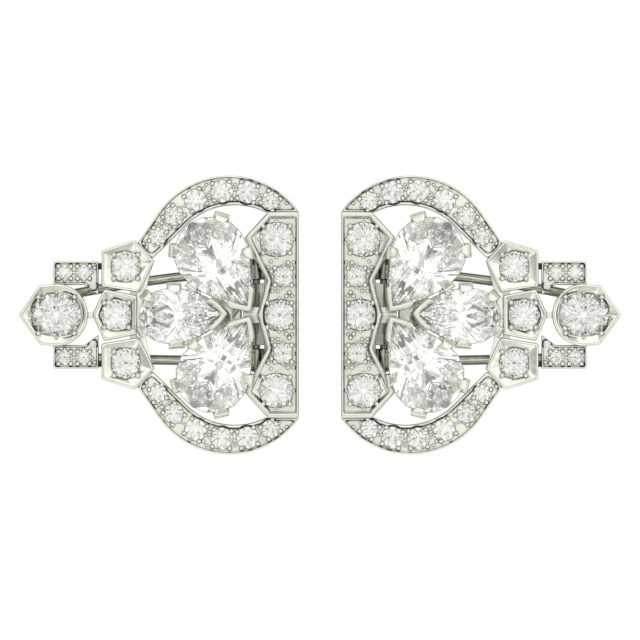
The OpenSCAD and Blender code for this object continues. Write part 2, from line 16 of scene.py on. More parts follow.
import bpy
import numpy as np
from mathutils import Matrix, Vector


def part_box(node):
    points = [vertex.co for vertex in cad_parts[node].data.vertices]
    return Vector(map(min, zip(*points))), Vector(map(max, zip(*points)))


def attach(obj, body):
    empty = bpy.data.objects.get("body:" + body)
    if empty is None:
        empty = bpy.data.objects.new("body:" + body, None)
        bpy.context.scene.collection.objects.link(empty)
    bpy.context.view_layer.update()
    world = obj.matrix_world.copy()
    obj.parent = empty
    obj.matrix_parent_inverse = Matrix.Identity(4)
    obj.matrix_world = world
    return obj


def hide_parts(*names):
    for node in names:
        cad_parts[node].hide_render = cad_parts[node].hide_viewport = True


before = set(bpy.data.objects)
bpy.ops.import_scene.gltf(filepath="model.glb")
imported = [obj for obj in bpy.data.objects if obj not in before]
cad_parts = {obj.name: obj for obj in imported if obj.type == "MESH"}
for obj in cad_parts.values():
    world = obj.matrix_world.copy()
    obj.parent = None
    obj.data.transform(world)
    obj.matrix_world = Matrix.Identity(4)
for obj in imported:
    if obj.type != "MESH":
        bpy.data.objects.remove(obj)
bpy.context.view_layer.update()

MM = 0.001
ACROSS = np.array([1.0, -1.0])
Pair = tuple[float, float]
Tree = bpy.types.NodeTree
Socket = bpy.types.NodeSocket
log = logging.getLogger("brooch")


class Side(Enum):
    """The two clips, with the sign of their x."""

    LEFT = -1
    RIGHT = 1

    @property
    def label(self) -> str:
        """The side's name as the nodes spell it."""
        return self.name.lower()


class Body(Enum):
    """What a piece rides on: the clips themselves, or the side's fork."""

    CLIPS = "clips"
    PRONGS = "prongs"


class Slot(Enum):
    """The record's material slots."""

    PLATINUM = "platinum"
    FITTING = "fitting"
    DIAMOND = "diamond"


@dataclass
class Surface:
    """A surface: points as rows of u, v, z, and faces as lists of point numbers."""

    points: np.ndarray
    faces: list[np.ndarray]

    def moved(self, u: float = 0.0, v: float = 0.0, z: float = 0.0) -> Surface:
        """The same surface, shifted."""
        return Surface(self.points + np.array([u, v, z]), self.faces)

    def turned(self, degrees: float) -> Surface:
        """The same surface, turned about the upright axis."""
        c, s = math.cos(math.radians(degrees)), math.sin(math.radians(degrees))
        turn = np.array([[c, s, 0.0], [-s, c, 0.0], [0.0, 0.0, 1.0]])
        return Surface(self.points @ turn, self.faces)

    def leaning(self, slope: float, towards: float) -> Surface:
        """The same surface, tipped by a small slope towards a direction in radians."""
        away = np.array([math.cos(towards), math.sin(towards), 0.0])
        rise = np.outer(self.points @ away, [0.0, 0.0, 1.0])
        return Surface(self.points + slope * (np.outer(self.points[:, 2], away) - rise), self.faces)

    def mirrored(self, axis: int) -> Surface:
        """The mirror image with u (axis 0) or v (axis 1) flipped, its faces still outward."""
        sign = np.ones(3)
        sign[axis] = -1.0
        return Surface(self.points * sign, [rows[:, ::-1] for rows in self.faces])


def joined(shells: list[Surface]) -> Surface:
    """Several surfaces as one, without merging them.

    Args:
        shells: The surfaces.

    Returns:
        One surface with all their points and faces.
    """
    starts = np.cumsum([0] + [len(s.points) for s in shells[:-1]])
    faces = [rows + start for s, start in zip(shells, starts) for rows in s.faces]
    return Surface(np.concatenate([s.points for s in shells]), faces)


def around(count: int) -> np.ndarray:
    """Evenly spaced angles of a full turn, from 0."""
    return np.linspace(0.0, 2 * np.pi, count, endpoint=False)


def arc(centre: Pair, radius: float, start: float, end: float, count: int) -> np.ndarray:
    """Points on a circle: centre plus radius times (cos a, sin a), from start to end in degrees."""
    a = np.radians(np.linspace(start, end, count))
    return np.array(centre) + radius * np.stack([np.cos(a), np.sin(a)], 1)


def unit(rows: np.ndarray) -> np.ndarray:
    """Each row over its own length."""
    return rows / np.linalg.norm(rows, axis=1, keepdims=True)


def inset(outline: np.ndarray, depth: float) -> np.ndarray:
    """A closed counter-clockwise outline with every edge moved inwards.

    Each corner moves by the sum of its two edges' inward normals, over one plus their
    product, times the depth.

    Args:
        outline: The corners, one a row.
        depth: How far the edges move.

    Returns:
        The smaller outline, corner by corner.
    """
    ahead = unit(np.roll(outline, -1, 0) - outline)
    normal = np.stack([-ahead[:, 1], ahead[:, 0]], 1)
    before = np.roll(normal, 1, 0)
    shift = (normal + before) / (1.0 + np.sum(normal * before, 1, keepdims=True))
    return outline + shift * depth


def inside(points: np.ndarray, outline: np.ndarray) -> np.ndarray:
    """Which points lie inside a closed outline: those whose ray along u crosses it oddly often.

    Args:
        points: Points, one a row.
        outline: The corners, one a row.

    Returns:
        True for each point inside.
    """
    a, b = outline, np.roll(outline, -1, 0)
    v = points[:, None, 1]
    spans = (a[:, 1] > v) != (b[:, 1] > v)
    rise = np.where(a[:, 1] == b[:, 1], 1.0, b[:, 1] - a[:, 1])
    cross = a[:, 0] + (v - a[:, 1]) * (b[:, 0] - a[:, 0]) / rise
    return np.sum(spans & (points[:, None, 0] < cross), 1) % 2 == 1


def softened(outline: np.ndarray, reach: float, steps: int = 5) -> np.ndarray:
    """A closed outline whose corners are rounded off.

    Each corner C becomes the curve (1-s)^2 A + 2 s (1-s) C + s^2 B, where A and B lie on the
    corner's two edges at the given reach, or at nearly half the edge where it is shorter.

    Args:
        outline: The corners, one a row.
        reach: Distance from a corner to where its rounding starts.
        steps: Points on each rounded corner.

    Returns:
        The rounded outline.
    """
    edges = [np.roll(outline, shift, 0) - outline for shift in (1, -1)]
    lengths = [np.linalg.norm(edge, axis=1, keepdims=True) for edge in edges]
    a, b = (outline + edge / size * np.minimum(reach, 0.49 * size)
            for edge, size in zip(edges, lengths))
    s = np.linspace(0.0, 1.0, steps)[None, :, None]
    curve = (1 - s) ** 2 * a[:, None] + 2 * s * (1 - s) * outline[:, None] + s ** 2 * b[:, None]
    return curve.reshape(-1, 2)


def lofted(rings: np.ndarray, closed: bool = False) -> Surface:
    """A surface through rings of equal length, capped at both ends or closed on itself.

    Point (i, j) of the grid is point j of ring i. Rings run counter-clockwise seen from the
    side towards which they follow each other.

    Args:
        rings: Array of rings by points by 3.
        closed: True where the last ring joins the first, as on a hoop.

    Returns:
        The closed surface.
    """
    count, size, _ = rings.shape
    number = np.arange(count * size).reshape(count, size)
    lower = number if closed else number[:-1]
    upper = np.roll(number, -1, 0) if closed else number[1:]
    quads = np.stack([lower, np.roll(lower, -1, 1), np.roll(upper, -1, 1), upper], -1)
    caps = [] if closed else [number[:1, ::-1], number[-1:]]
    return Surface(rings.reshape(-1, 3), [quads.reshape(-1, 4)] + caps)


def raised(outline: np.ndarray, z: float) -> np.ndarray:
    """An outline of rows u, v with its height added as a third column."""
    return np.column_stack([outline, np.full(len(outline), z)])


def ringed(r: np.ndarray, angle: np.ndarray, z: np.ndarray) -> np.ndarray:
    """Rings about the upright axis: (r cos a, r sin a, z) of radii, angles and heights."""
    return np.stack(np.broadcast_arrays(r * np.cos(angle), r * np.sin(angle), z), -1)


def swept(path: np.ndarray, across: np.ndarray, up: np.ndarray, section: np.ndarray,
          scale: np.ndarray) -> Surface:
    """A section carried along a path.

    Point (i, j) is path i plus section j's first value times the across direction plus its
    second times the up direction, each times the path's own factor.

    Args:
        path: Centre points, one a row.
        across: Direction of the section's first value, one a row or one for all.
        up: Direction of the section's second value, one a row.
        section: Points of the section, counter-clockwise against the path's direction.
        scale: Two factors for each path point, for the two directions.

    Returns:
        The closed surface.
    """
    wide = np.broadcast_to(across, path.shape)[:, None] * (scale[:, :1, None] * section[None, :, :1])
    tall = up[:, None] * (scale[:, 1:, None] * section[None, :, 1:])
    return lofted(path[:, None] + wide + tall)


def rounded_section(width: float, height: float, power: float, count: int = 24) -> np.ndarray:
    """A closed section between an ellipse and a rectangle.

    At angle t the point is half the width times |cos t|^(2/power) with cosine's sign, and
    half the height times |sin t|^(2/power) with sine's sign.

    Args:
        width: Full width.
        height: Full height.
        power: 2 for an ellipse, more for squarer shoulders.
        count: Number of points.

    Returns:
        The section's points.
    """
    t = around(count) + np.pi / count
    c, s = np.cos(t), np.sin(t)
    return np.stack([width / 2 * np.sign(c) * np.abs(c) ** (2 / power),
                     height / 2 * np.sign(s) * np.abs(s) ** (2 / power)], 1)


def rounded_ends(low: float, high: float, bevel: float, steps: int) -> tuple[np.ndarray, np.ndarray]:
    """A profile rounded off at both ends: bevel times (1 - sin a) in, and times (1 - cos a) up.

    Args:
        low: Where the profile starts.
        high: Where it ends.
        bevel: Radius of the rounding.
        steps: Rows in each rounding.

    Returns:
        How far in each row lies, and where it lies between low and high.
    """
    a = np.radians(np.linspace(0.0, 90.0, steps))
    first, last = bevel * (1 - np.sin(a)), bevel * (1 - np.cos(a))
    return np.concatenate([first, last]), np.concatenate([low + last, high - first])


def slab(outline: np.ndarray, low: float, high: float, bevel: float = 0.06) -> Surface:
    """A flat piece between two heights, with its upper and lower edges rounded off."""
    rows = zip(*rounded_ends(low, high, bevel, 4))
    return lofted(np.stack([raised(inset(outline, depth), z) for depth, z in rows]))


def block(u: Pair, v: Pair, z: Pair, bevel: float = 0.06) -> Surface:
    """A box with rounded edges, between two values of u, of v and of z."""
    corners = np.array([[u[0], v[0]], [u[1], v[0]], [u[1], v[1]], [u[0], v[1]]])
    return slab(softened(corners, 1.5 * bevel), *z, bevel)


def turned_pin(radius: float, low: float, high: float, bevel: float) -> Surface:
    """A rod along v with rounded ends, its axis on u = 0, z = 0."""
    depth, v = rounded_ends(low, high, bevel, 5)
    return lofted(ringed((radius - depth)[:, None], around(40)[None], v[:, None])[..., [1, 2, 0]])


def mesh_of(shell: Surface, name: str, scale: float = 1.0) -> bpy.types.Mesh:
    """A new mesh of a surface.

    Args:
        shell: The surface.
        name: The mesh's name.
        scale: What its points are multiplied by.

    Returns:
        The mesh.
    """
    mesh = bpy.data.meshes.new(name)
    faces = [row for rows in shell.faces for row in rows.tolist()]
    mesh.from_pydata((shell.points * scale).tolist(), [], faces)
    return mesh


def object_of(data: bpy.types.ID) -> bpy.types.Object:
    """A new object of a mesh or a camera in the scene, with the same name."""
    made = bpy.data.objects.new(data.name, data)
    bpy.context.scene.collection.objects.link(made)
    return made


def pulled(rows: bpy.types.bpy_prop_collection, name: str, width: int = 1,
           kind: type = int) -> np.ndarray:
    """One property of all the rows of a mesh.

    Args:
        rows: The mesh's points, corners or faces.
        name: The property.
        width: How many values it has.
        kind: Their type.

    Returns:
        The values, a row for each row of the mesh where there is more than one.
    """
    values = np.empty(len(rows) * width, kind)
    rows.foreach_get(name, values)
    return values.reshape(-1, width) if width > 1 else values


def mark_edges(mesh: bpy.types.Mesh, angle: float) -> None:
    """Shades a mesh smooth, and sharp along edges whose two faces turn by more than an angle.

    Args:
        mesh: The mesh.
        angle: The least turn of a sharp edge, in degrees.
    """
    normals = pulled(mesh.polygons, "normal", 3, float)
    totals = pulled(mesh.polygons, "loop_total")
    edge = pulled(mesh.loops, "edge_index")
    order = np.argsort(edge, kind="stable")
    edge, face = edge[order], np.repeat(np.arange(len(totals)), totals)[order]
    pair = np.flatnonzero(edge[1:] == edge[:-1])
    turn = np.sum(normals[face[pair]] * normals[face[pair + 1]], 1)
    sharp = np.ones(len(mesh.edges), bool)
    sharp[edge[pair]] = turn < math.cos(math.radians(angle))
    mesh.shade_smooth()
    flags = mesh.attributes.get("sharp_edge") or mesh.attributes.new("sharp_edge", "BOOLEAN", "EDGE")
    flags.data.foreach_set("value", sharp)
    mesh.update()


def fused(adds: list[Surface], cuts: list[Surface], label: str) -> Surface:
    """One solid of metal: some closed surfaces united, and others cut out of it.

    Args:
        adds: Closed surfaces that overlap each other.
        cuts: Closed surfaces to take away.
        label: Word for the temporary objects.

    Returns:
        The surface of the solid.
    """
    parts = [object_of(mesh_of(shell, f"{label}_{i}")) for i, shell in enumerate(adds + cuts)]
    for i, part in enumerate(parts[1:], start=1):
        step = parts[0].modifiers.new(f"step_{i}", "BOOLEAN")
        step.operation = "UNION" if i < len(adds) else "DIFFERENCE"
        step.solver = "MANIFOLD"
        step.object = part
    evaluated = parts[0].evaluated_get(bpy.context.evaluated_depsgraph_get())
    mesh = bpy.data.meshes.new_from_object(evaluated)
    corners, totals = pulled(mesh.loops, "vertex_index"), pulled(mesh.polygons, "loop_total")
    starts = np.cumsum(totals) - totals
    faces = [corners[starts[totals == n][:, None] + np.arange(n)] for n in np.unique(totals)]
    result = Surface(pulled(mesh.vertices, "co", 3, float), faces)
    for old in [part.data for part in parts] + [mesh]:
        bpy.data.meshes.remove(old)
    return result


# A stone's seat, from below the cone up: rows of share of the outline, clearance, height
# over the bed in halves of the stone's width, and height over that in millimetres. The hole
# below it goes past the frame's back by so many millimetres.
HOLE_RINGS = ((0.42, 0.05, -0.55, 0.0), (0.93, 0.05, -0.16, 0.0), (1.0, 0.02, 0.0, -0.08),
              (1.0, 0.1, 0.0, 0.01), (1.0, 0.3, 0.0, 0.5))
HOLE_PAST = 0.3


@dataclass(frozen=True)
class StonePlace:
    """A stone of the front: u and v of its centre, its sizes along u and v, and its outline."""

    u: float
    v: float
    long: float
    wide: float
    power: float = 2.6
    turn: float = 0.0
    culet: float = 0.0

    def reach(self, angle: np.ndarray) -> np.ndarray:
        """Superellipse: one over the power'th root of |cos/half length|^p + |sin/half width|^p."""
        c = np.abs(np.cos(angle)) / (self.long / 2)
        s = np.abs(np.sin(angle)) / (self.wide / 2)
        return (c ** self.power + s ** self.power) ** (-1.0 / self.power)

    @property
    def width(self) -> float:
        """Mean width, from which the depths are worked out."""
        return self.long / 2 + self.wide / 2

    def flipped(self) -> StonePlace:
        """The same stone on the other side of the clip's middle line."""
        return replace(self, v=-self.v, turn=-self.turn)

    def seat(self, bed: float, back: float) -> Surface:
        """The hole that holds the stone: a hole at the back, a cone, and a bevel at the bed.

        Each ring is the outline times a share plus a clearance, at its own height.

        Args:
            bed: Height of the bed.
            back: Height of the frame's back.

        Returns:
            The closed surface to cut away.
        """
        a = around(48)
        share, more, halves, rise = np.array(HOLE_RINGS[:1] + HOLE_RINGS).T[..., None]
        z = bed + halves * (self.width / 2) + rise
        z[0] = back - HOLE_PAST
        return lofted(ringed(share * self.reach(a) + more, a, z)).moved(self.u, self.v)


@dataclass(frozen=True)
class PearCut:
    """Outline of a pear: a circle that two long arcs leave at an angle, to meet in a point."""

    head: float
    length: float
    side_angle: float

    @property
    def side(self) -> float:
        """The angle at which the arcs leave the circle, in radians from the point."""
        return math.radians(self.side_angle)

    @property
    def long_radius(self) -> float:
        """Radius of the long arcs: (2 L R cos p - L^2 - R^2) / (2 (L cos p - R))."""
        p = math.cos(self.side)
        squares = self.length ** 2 + self.head ** 2
        return (2 * self.length * self.head * p - squares) / (2 * (self.length * p - self.head))

    def reach(self, angle: np.ndarray) -> np.ndarray:
        """The head's radius behind the side angle, and the long arc's distance before it.

        Args:
            angle: Directions from the centre in radians, from the point.

        Returns:
            The outline's distance in each direction.
        """
        w = np.abs((np.asarray(angle) + np.pi) % (2 * np.pi) - np.pi)
        centre = self.long_radius - self.head
        along = -centre * np.cos(w - self.side)
        far = along + np.sqrt(self.long_radius ** 2 - centre ** 2 + along ** 2)
        return np.where(w >= self.side, self.head, far)

    def furthest(self, degrees: float) -> float:
        """The furthest that the pear reaches from its centre in a direction."""
        off = math.cos(math.radians(min(abs(degrees), self.side_angle) - self.side_angle))
        return self.long_radius - (self.long_radius - self.head) * off

    def angle_back_from_point(self, distance: float) -> float:
        """The angle at which the side lies a distance back from the point.

        Args:
            distance: How far back.

        Returns:
            The angle in radians.
        """
        x = self.length - distance
        off = self.long_radius - self.head
        centre = (-off * math.cos(self.side), -off * math.sin(self.side))
        y = centre[1] + math.sqrt(self.long_radius ** 2 - (x - centre[0]) ** 2)
        return math.atan2(y, x)

    @property
    def width(self) -> float:
        """Width of the head, from which the depths are worked out."""
        return 2 * self.head

    @property
    def culet(self) -> float:
        """How far from the centre, towards the point, the pavilion's facets meet."""
        return 0.2 * self.length


@dataclass(frozen=True)
class StoneCutter:
    """Cuts a stone into facets: table, stars, bezels, girdle facets, pavilion and culet.

    Radii are shares of the girdle's distance from the centre, and heights are shares of the
    stone's width. Stars and lower facets lie half a step round from the main ones, and the
    girdle leans in a little towards the crown.
    """

    table: float
    star: float
    lower: float
    culet: float = 0.12
    crown: float = 0.165
    pavilion: float = 0.42
    girdle: float = 0.025
    bevel: float = 0.98
    mains: int = 8

    def cut(self, form: StonePlace | PearCut) -> Surface:
        """The stone's surface with its girdle at height 0.

        Args:
            form: The girdle's outline.

        Returns:
            The closed faceted surface round the stone's own centre.
        """
        n = self.mains
        edge = self.girdle * form.width / 2
        top = self.crown * form.width
        chord = math.cos(math.pi / n)
        star_z = top + (edge - top) * (self.star * chord - self.table) / (1 - self.table)
        layers = [(self.table, top, n, 0.0), (self.star, star_z, n, 0.5), (self.bevel, edge, 2 * n, 0.0),
                  (1.0, -edge, 2 * n, 0.0), (self.lower, None, n, 0.5), (self.culet, None, n, 0.5)]
        points = np.concatenate([self.layer(form, *row) for row in layers])
        t, s, w, c = (start * n + np.arange(n) for start in (0, 1, 6, 7))
        upper, lower = (start * n + np.arange(2 * n) for start in (2, 4))
        g, g_half, b, b_half = upper[::2], upper[1::2], lower[::2], lower[1::2]
        g_next, b_next, t_next = np.roll(g, -1), np.roll(b, -1), np.roll(t, -1)
        s_before, c_before, w_before = np.roll(s, 1), np.roll(c, 1), np.roll(w, 1)
        triples = [(t_next, t, s), (s, t, g), (g, t, s_before), (g_half, s, g), (g_next, s, g_half),
                   (w, b_half, b), (w, b_next, b_half), (c, w, b), (c_before, c, b),
                   (w_before, c_before, b)]
        band = np.stack([upper, lower, np.roll(lower, -1), np.roll(upper, -1)], 1)
        faces = [np.stack(triple, 1) for triple in triples]
        return Surface(points, faces + [band, t[None, :], c[None, ::-1]])

    def layer(self, form: StonePlace | PearCut, share: float, z: float | None, count: int,
              turn: float) -> np.ndarray:
        """A ring of points at a share of the outline.

        A ring of the pavilion lies round the culet, and falls by the pavilion's depth times
        (1 - share c) / (1 - culet c), with c the cosine of half a step.

        Args:
            form: The girdle's outline.
            share: Share of the outline's distance from the centre, or from the culet.
            z: Height of the ring, or nothing for a ring of the pavilion.
            count: Number of points.
            turn: Shift round the ring, in steps.

        Returns:
            The ring's points.
        """
        a = 2 * np.pi * (np.arange(count) + turn) / count
        x, y = form.reach(a) * np.cos(a), form.reach(a) * np.sin(a)
        if z is not None:
            return np.stack([share * x, share * y, np.full(count, z)], 1)
        chord = math.cos(math.pi / self.mains)
        fall = (1 - share * chord) / (1 - self.culet * chord)
        z = -(self.girdle / 2 + self.pavilion * fall) * form.width
        return np.stack([share * x + (1 - share) * form.culet, share * y, np.full(count, z)], 1)


@dataclass(frozen=True)
class RimmedBed:
    """A stone-set part of the front: a wall, a raised rim and a bed inside it.

    The wall goes straight up from the back, the rim is rounded over at both its edges, and
    the bed lies below it. Every ring is a mix of the outer outline and the bed's outline.
    Where a single stone fills the bed, the bed slopes down to it from a brink at the rim.
    Shares and runs are parts of the way from the outer outline to the bed's: at the back, at
    the crest's two edges, and along the inner rounding without a stone and with one.
    """

    edge: np.ndarray
    bed: np.ndarray
    low: float
    high: float
    depth: float
    reach: float = 0.22
    rounding: float = 0.17
    stone: StonePlace | None = None
    brink: float = 0.16
    drop: float = 0.44
    clear: float = 0.12
    back_share: float = 0.12
    crest_shares: Pair = (0.42, 0.5)
    plain_run: float = 0.27
    stone_run: float = 0.15

    def shell(self) -> Surface:
        """The part as a closed surface: rings (share of the way to the bed, height)."""
        turn = np.radians(np.linspace(0.0, 90.0, 5))
        run, steep, fall = self.plain_run, 1.2 * self.rounding, self.depth
        if self.stone is not None:
            run, steep, fall = self.stone_run, self.brink, 1.25 * self.brink
        outer, inner = self.crest_shares
        rows = [(self.back_share, self.low), (0.0, self.low + self.rounding),
                *zip(outer * (1 - np.cos(turn)), self.high - self.rounding * (1 - np.sin(turn))),
                *zip(inner + run * np.sin(turn), self.high - steep * (1 - np.cos(turn))),
                (1.0, self.high - fall)]
        edge, bed = softened(self.edge, self.reach), softened(self.bed, self.reach)
        rings = [raised(edge + share * (bed - edge), z) for share, z in rows]
        if self.stone is not None:
            rings.append(raised(self.foot(bed), self.high - self.drop))
        return lofted(np.stack(rings))

    def foot(self, bed: np.ndarray) -> np.ndarray:
        """Where the slopes end: just outside the stone, on the way from the bed's outline.

        Args:
            bed: The bed's outline.

        Returns:
            The slopes' lower ends, one for each of its points.
        """
        centre = np.array([self.stone.u, self.stone.v])
        away = bed - centre
        girdle = self.stone.reach(np.arctan2(away[:, 1], away[:, 0])) + self.clear
        return centre + away * np.minimum(girdle / np.linalg.norm(away, axis=1), 1.0)[:, None]


@dataclass(frozen=True)
class Grains:
    """Beads of metal raised from the beds to hold the stones down and to fill the beds.

    The height of the dome, the clearances from stones and from other beads, and the sizes of
    the beads between and of the filling ones are shares of the usual radius. Waves are
    radians in a millimetre, and the cap is how far the dome goes up, in degrees.
    """

    radius: float = 0.29
    height: float = 1.105
    stem: float = 0.25
    cap: float = 78.0
    sides: int = 10
    off: float = 0.07
    least_stone: float = 1.0
    between: float = 0.62
    pitch: float = 0.57
    from_stone: float = 0.8
    from_bead: float = 1.5
    stray: float = 0.07
    stray_waves: Pair = (37.0, 53.0)
    filling: float = 0.8
    unlike: float = 0.13
    unlike_waves: Pair = (29.0, 41.0)

    def field(self, outline: np.ndarray, held: list[StonePlace], bed: float) -> np.ndarray:
        """Beads round each stone of a bed, and small ones on a grid between them.

        A stone has large beads on its diagonals and small ones between those, where the bed
        has room, unless it is the least in size. The grid is one of equal triangles, and
        keeps what lies inside the bed and clear of the stones and of their beads. Each of its
        beads strays from it by a sine of its place, and its size by another.

        Args:
            outline: The bed's corners.
            held: The stones that lie in it.
            bed: Its height.

        Returns:
            Rows of u, v, height and share of the usual radius.
        """
        turns = np.radians(np.arange(8) * 45.0 + 45.0)
        beaded = [place for place in held if place.long > self.least_stone]
        ring = np.concatenate([
            [place.u, place.v] + (place.reach(turns)[:, None] + self.off)
            * np.stack([np.cos(place.turn + turns), np.sin(place.turn + turns)], 1)
            for place in beaded])
        wide = np.tile([1.0, self.between], 4 * len(beaded))
        kept = (wide == 1.0) | (inside(ring, outline) & self.clear(ring, held, 0.0))
        ring, wide = ring[kept], wide[kept]
        low, high = outline.min(0), outline.max(0)
        across = np.arange(low[0], high[0], self.pitch)
        along = np.arange(low[1], high[1], self.pitch * math.sqrt(0.75))
        grid = np.stack(np.meshgrid(across, along), -1)
        grid[1::2, :, 0] += self.pitch / 2
        spots = grid.reshape(-1, 2)
        spots = spots + self.stray * np.sin(spots[:, ::-1] * self.stray_waves)
        apart = np.linalg.norm(spots[:, None] - ring[None], axis=2).min(1)
        clear = self.clear(spots, held, self.from_stone) & (apart > self.from_bead * self.radius)
        spots = spots[inside(spots, outline) & clear]
        wave = self.unlike_waves[0] * spots[:, 0] + self.unlike_waves[1] * spots[:, 1]
        size = self.filling * (1 + self.unlike * np.sin(wave))
        places = np.concatenate([ring, spots])
        return np.column_stack([places, np.full(len(places), bed), np.concatenate([wide, size])])

    def clear(self, spots: np.ndarray, held: list[StonePlace], share: float) -> np.ndarray:
        """Which spots lie outside all the stones.

        Args:
            spots: The spots, one a row.
            held: The stones.
            share: How far outside they must lie, as a share of the usual radius.

        Returns:
            True for each spot that does.
        """
        gaps = [np.hypot(*(spots - [p.u, p.v]).T) - p.reach(
            np.arctan2(spots[:, 1] - p.v, spots[:, 0] - p.u) - p.turn) for p in held]
        return np.min(gaps, 0) > share * self.radius

    def bead(self) -> Surface:
        """A domed bead: rings of radius r cos(a) at height r h sin(a), on a short stem."""
        a = np.radians(np.linspace(0.0, self.cap, 5))
        r = np.concatenate([[self.radius], self.radius * np.cos(a)])
        z = np.concatenate([[-self.stem], self.radius * self.height * np.sin(a)])
        return lofted(ringed(r[:, None], around(self.sides)[None], z[:, None]))

    def spread(self, places: np.ndarray) -> Surface:
        """One bead at each place.

        Args:
            places: Rows of u, v, height and share of the usual radius.

        Returns:
            All the beads as one surface.
        """
        base = self.bead()
        points = base.points[None] * places[:, None, 3:] + places[:, None, :3]
        shifts = len(base.points) * np.arange(len(places))[:, None, None]
        faces = [(rows[None] + shifts).reshape(-1, rows.shape[1]) for rows in base.faces]
        return Surface(points.reshape(-1, 3), faces)


@dataclass
class PiercedFront:
    """The front of a clip: arches, bar, boxes, side bars and end, in one piece of platinum.

    Outlines are rows of u and v. Stones are rows of u, v and diameter, or of u, v and the
    sizes along both. Ties are rows of two values of u, half the width and the height. The
    run is how far an arch reaches into the bar and into the box. The bar's bed has three
    corners that are shifted from the zigzag's, and two of its own. The end's shares are how
    far its corners and its tip move along u, for the rim's width.
    """

    back: float
    arch_radius: float = 8.6
    arch_inner_radius: float = 6.8
    arch_centre: Pair = (7.0, 5.35)
    arch_inner_centre: Pair = (6.4, 4.17)
    arch_flank: float = 34.6
    arch_inner_flank: float = 45.5
    arch_inner_top: float = 118.0
    arch_run: Pair = (0.1, 0.25)
    arch_height: float = 2.05
    bar_half: float = 10.35
    bar_height: float = 2.35
    box_height: float = 2.6
    side_height: float = 1.85
    end_height: float = 2.9
    bed_depth: float = 0.25
    bed_cut: float = 0.08
    outer_rim: float = 0.26
    inner_rim: float = 0.44
    wide_rim: float = 0.4
    flat_rim: float = 0.36
    zigzag: tuple = ((4.2, 0.0), (3.2, 3.4), (5.5, 7.7), (3.2, 10.2))
    bed_shifts: tuple = ((-0.85, 0.0), (-0.6, 0.05), (-0.95, 0.0))
    bed_corners: tuple = ((2.95, 9.3), (2.9, 9.6))
    upper_box: tuple = ((19.75, 6.45), (16.4, 7.5), (14.45, 5.4), (15.95, 2.25), (19.75, 2.85))
    middle_box: tuple = ((20.65, 0.0), (19.5, 2.6), (16.2, 1.95), (16.2, -1.95), (19.5, -2.6))
    side_bar: tuple = ((20.05, 5.4), (20.05, 1.95), (21.4, 3.0), (24.6, 3.0), (24.6, 5.4))
    end_centre: Pair = (24.2, 0.0)
    end_radius: float = 3.1
    end_tip: float = 28.05
    end_corner: Pair = (25.9, 3.0)
    end_shares: Pair = (0.45, 1.4)
    end_open: float = 10.0
    heel_centre: Pair = (1.0, 0.0)
    heel_radius: float = 14.5
    heel_width: float = 0.9
    heel_half_turn: float = 22.0
    heel_height: float = 1.8
    knee: tuple = ((15.9, 16.9), (1.6, 2.7), 1.6)
    ties: tuple = ((20.0, 21.3, 0.3, 1.7), (3.7, 5.6, 0.8, 0.5), (13.4, 15.8, 0.8, 0.5))
    side_tie: tuple = ((19.5, 20.25), (4.55, 5.2), (0.4, 1.2))
    arch_stones: tuple = ((14.12, 7.85, 1.80), (12.52, 9.88, 2.05), (10.35, 11.48, 2.25),
                          (7.72, 12.38, 2.30), (5.15, 12.28, 2.25), (2.85, 11.42, 1.90))
    bar_stones: tuple = ((2.25, 7.55, 3.35, 3.45), (1.58, 3.85, 2.00, 2.15),
                         (1.98, 0.0, 2.95, 3.20), (1.58, -3.85, 2.00, 2.15),
                         (2.25, -7.55, 3.35, 3.45))
    box_stones: tuple = ((17.30, 4.85, 2.90, 3.10), (18.25, 0.0, 3.00, 3.20),
                         (17.30, -4.85, 2.90, 3.10))
    side_stones: tuple = ((23.45, 4.25, 1.60), (21.55, 4.25, 1.60), (20.62, 2.92, 0.75))
    end_stone: tuple = (24.25, 0.0, 5.00, 4.30)

    def arch_outline(self, outer: float, inner: float, ends: float) -> np.ndarray:
        """The arch between two circles, which run out in straight flanks to the box.

        Args:
            outer: How far the outer edge is moved in.
            inner: How far the inner edge is moved in.
            ends: How far both ends are moved in; at 0 they run into the bar and the box.

        Returns:
            The corners, counter-clockwise.
        """
        start = np.array(self.upper_box[2])
        wall = np.array(self.upper_box[1]) - start
        normal = np.array([-wall[1], wall[0]]) / np.linalg.norm(wall)
        base = self.bar_half + (ends if ends > 0 else -self.arch_run[0])
        end = float(start @ normal) + (ends if ends > 0 else -self.arch_run[1])

        def level(centre: Pair, r: float) -> float:
            """The angle at which a circle meets the bar."""
            return 180.0 - math.degrees(math.asin((base - centre[1]) / r))

        def flank(centre: Pair, r: float, degrees: float) -> np.ndarray:
            """Where the straight that leaves a circle at an angle meets the box."""
            m = np.array([math.cos(math.radians(degrees)), math.sin(math.radians(degrees))])
            return np.linalg.solve(np.stack([m, normal]), [float(m @ np.array(centre)) + r, end])

        large = (self.arch_centre, self.arch_radius - outer)
        small = (self.arch_inner_centre, self.arch_inner_radius + inner)
        return np.concatenate([
            [flank(*large, self.arch_flank)],
            arc(*large, self.arch_flank, level(*large), 36),
            arc(*small, min(level(*small), self.arch_inner_top), self.arch_inner_flank, 28),
            [flank(*small, self.arch_inner_flank)]])

    def bar_outline(self) -> np.ndarray:
        """The bar: its flat edge on u = 0, and the zigzag on the other side."""
        upper = np.array(self.zigzag[1:] + ((self.zigzag[3][0], self.bar_half),
                                            (0.0, self.bar_half)))
        return np.concatenate([upper[::-1] * ACROSS, [self.zigzag[0]], upper])

    def bar_bed(self) -> np.ndarray:
        """The bar's bed, with a corner for each of the bar's."""
        middle, inner, outer = np.array(self.zigzag[:3]) + self.bed_shifts
        upper = np.array([inner, outer, *self.bed_corners, (self.flat_rim, self.bed_corners[1][1])])
        return np.concatenate([upper[::-1] * ACROSS, [middle], upper])

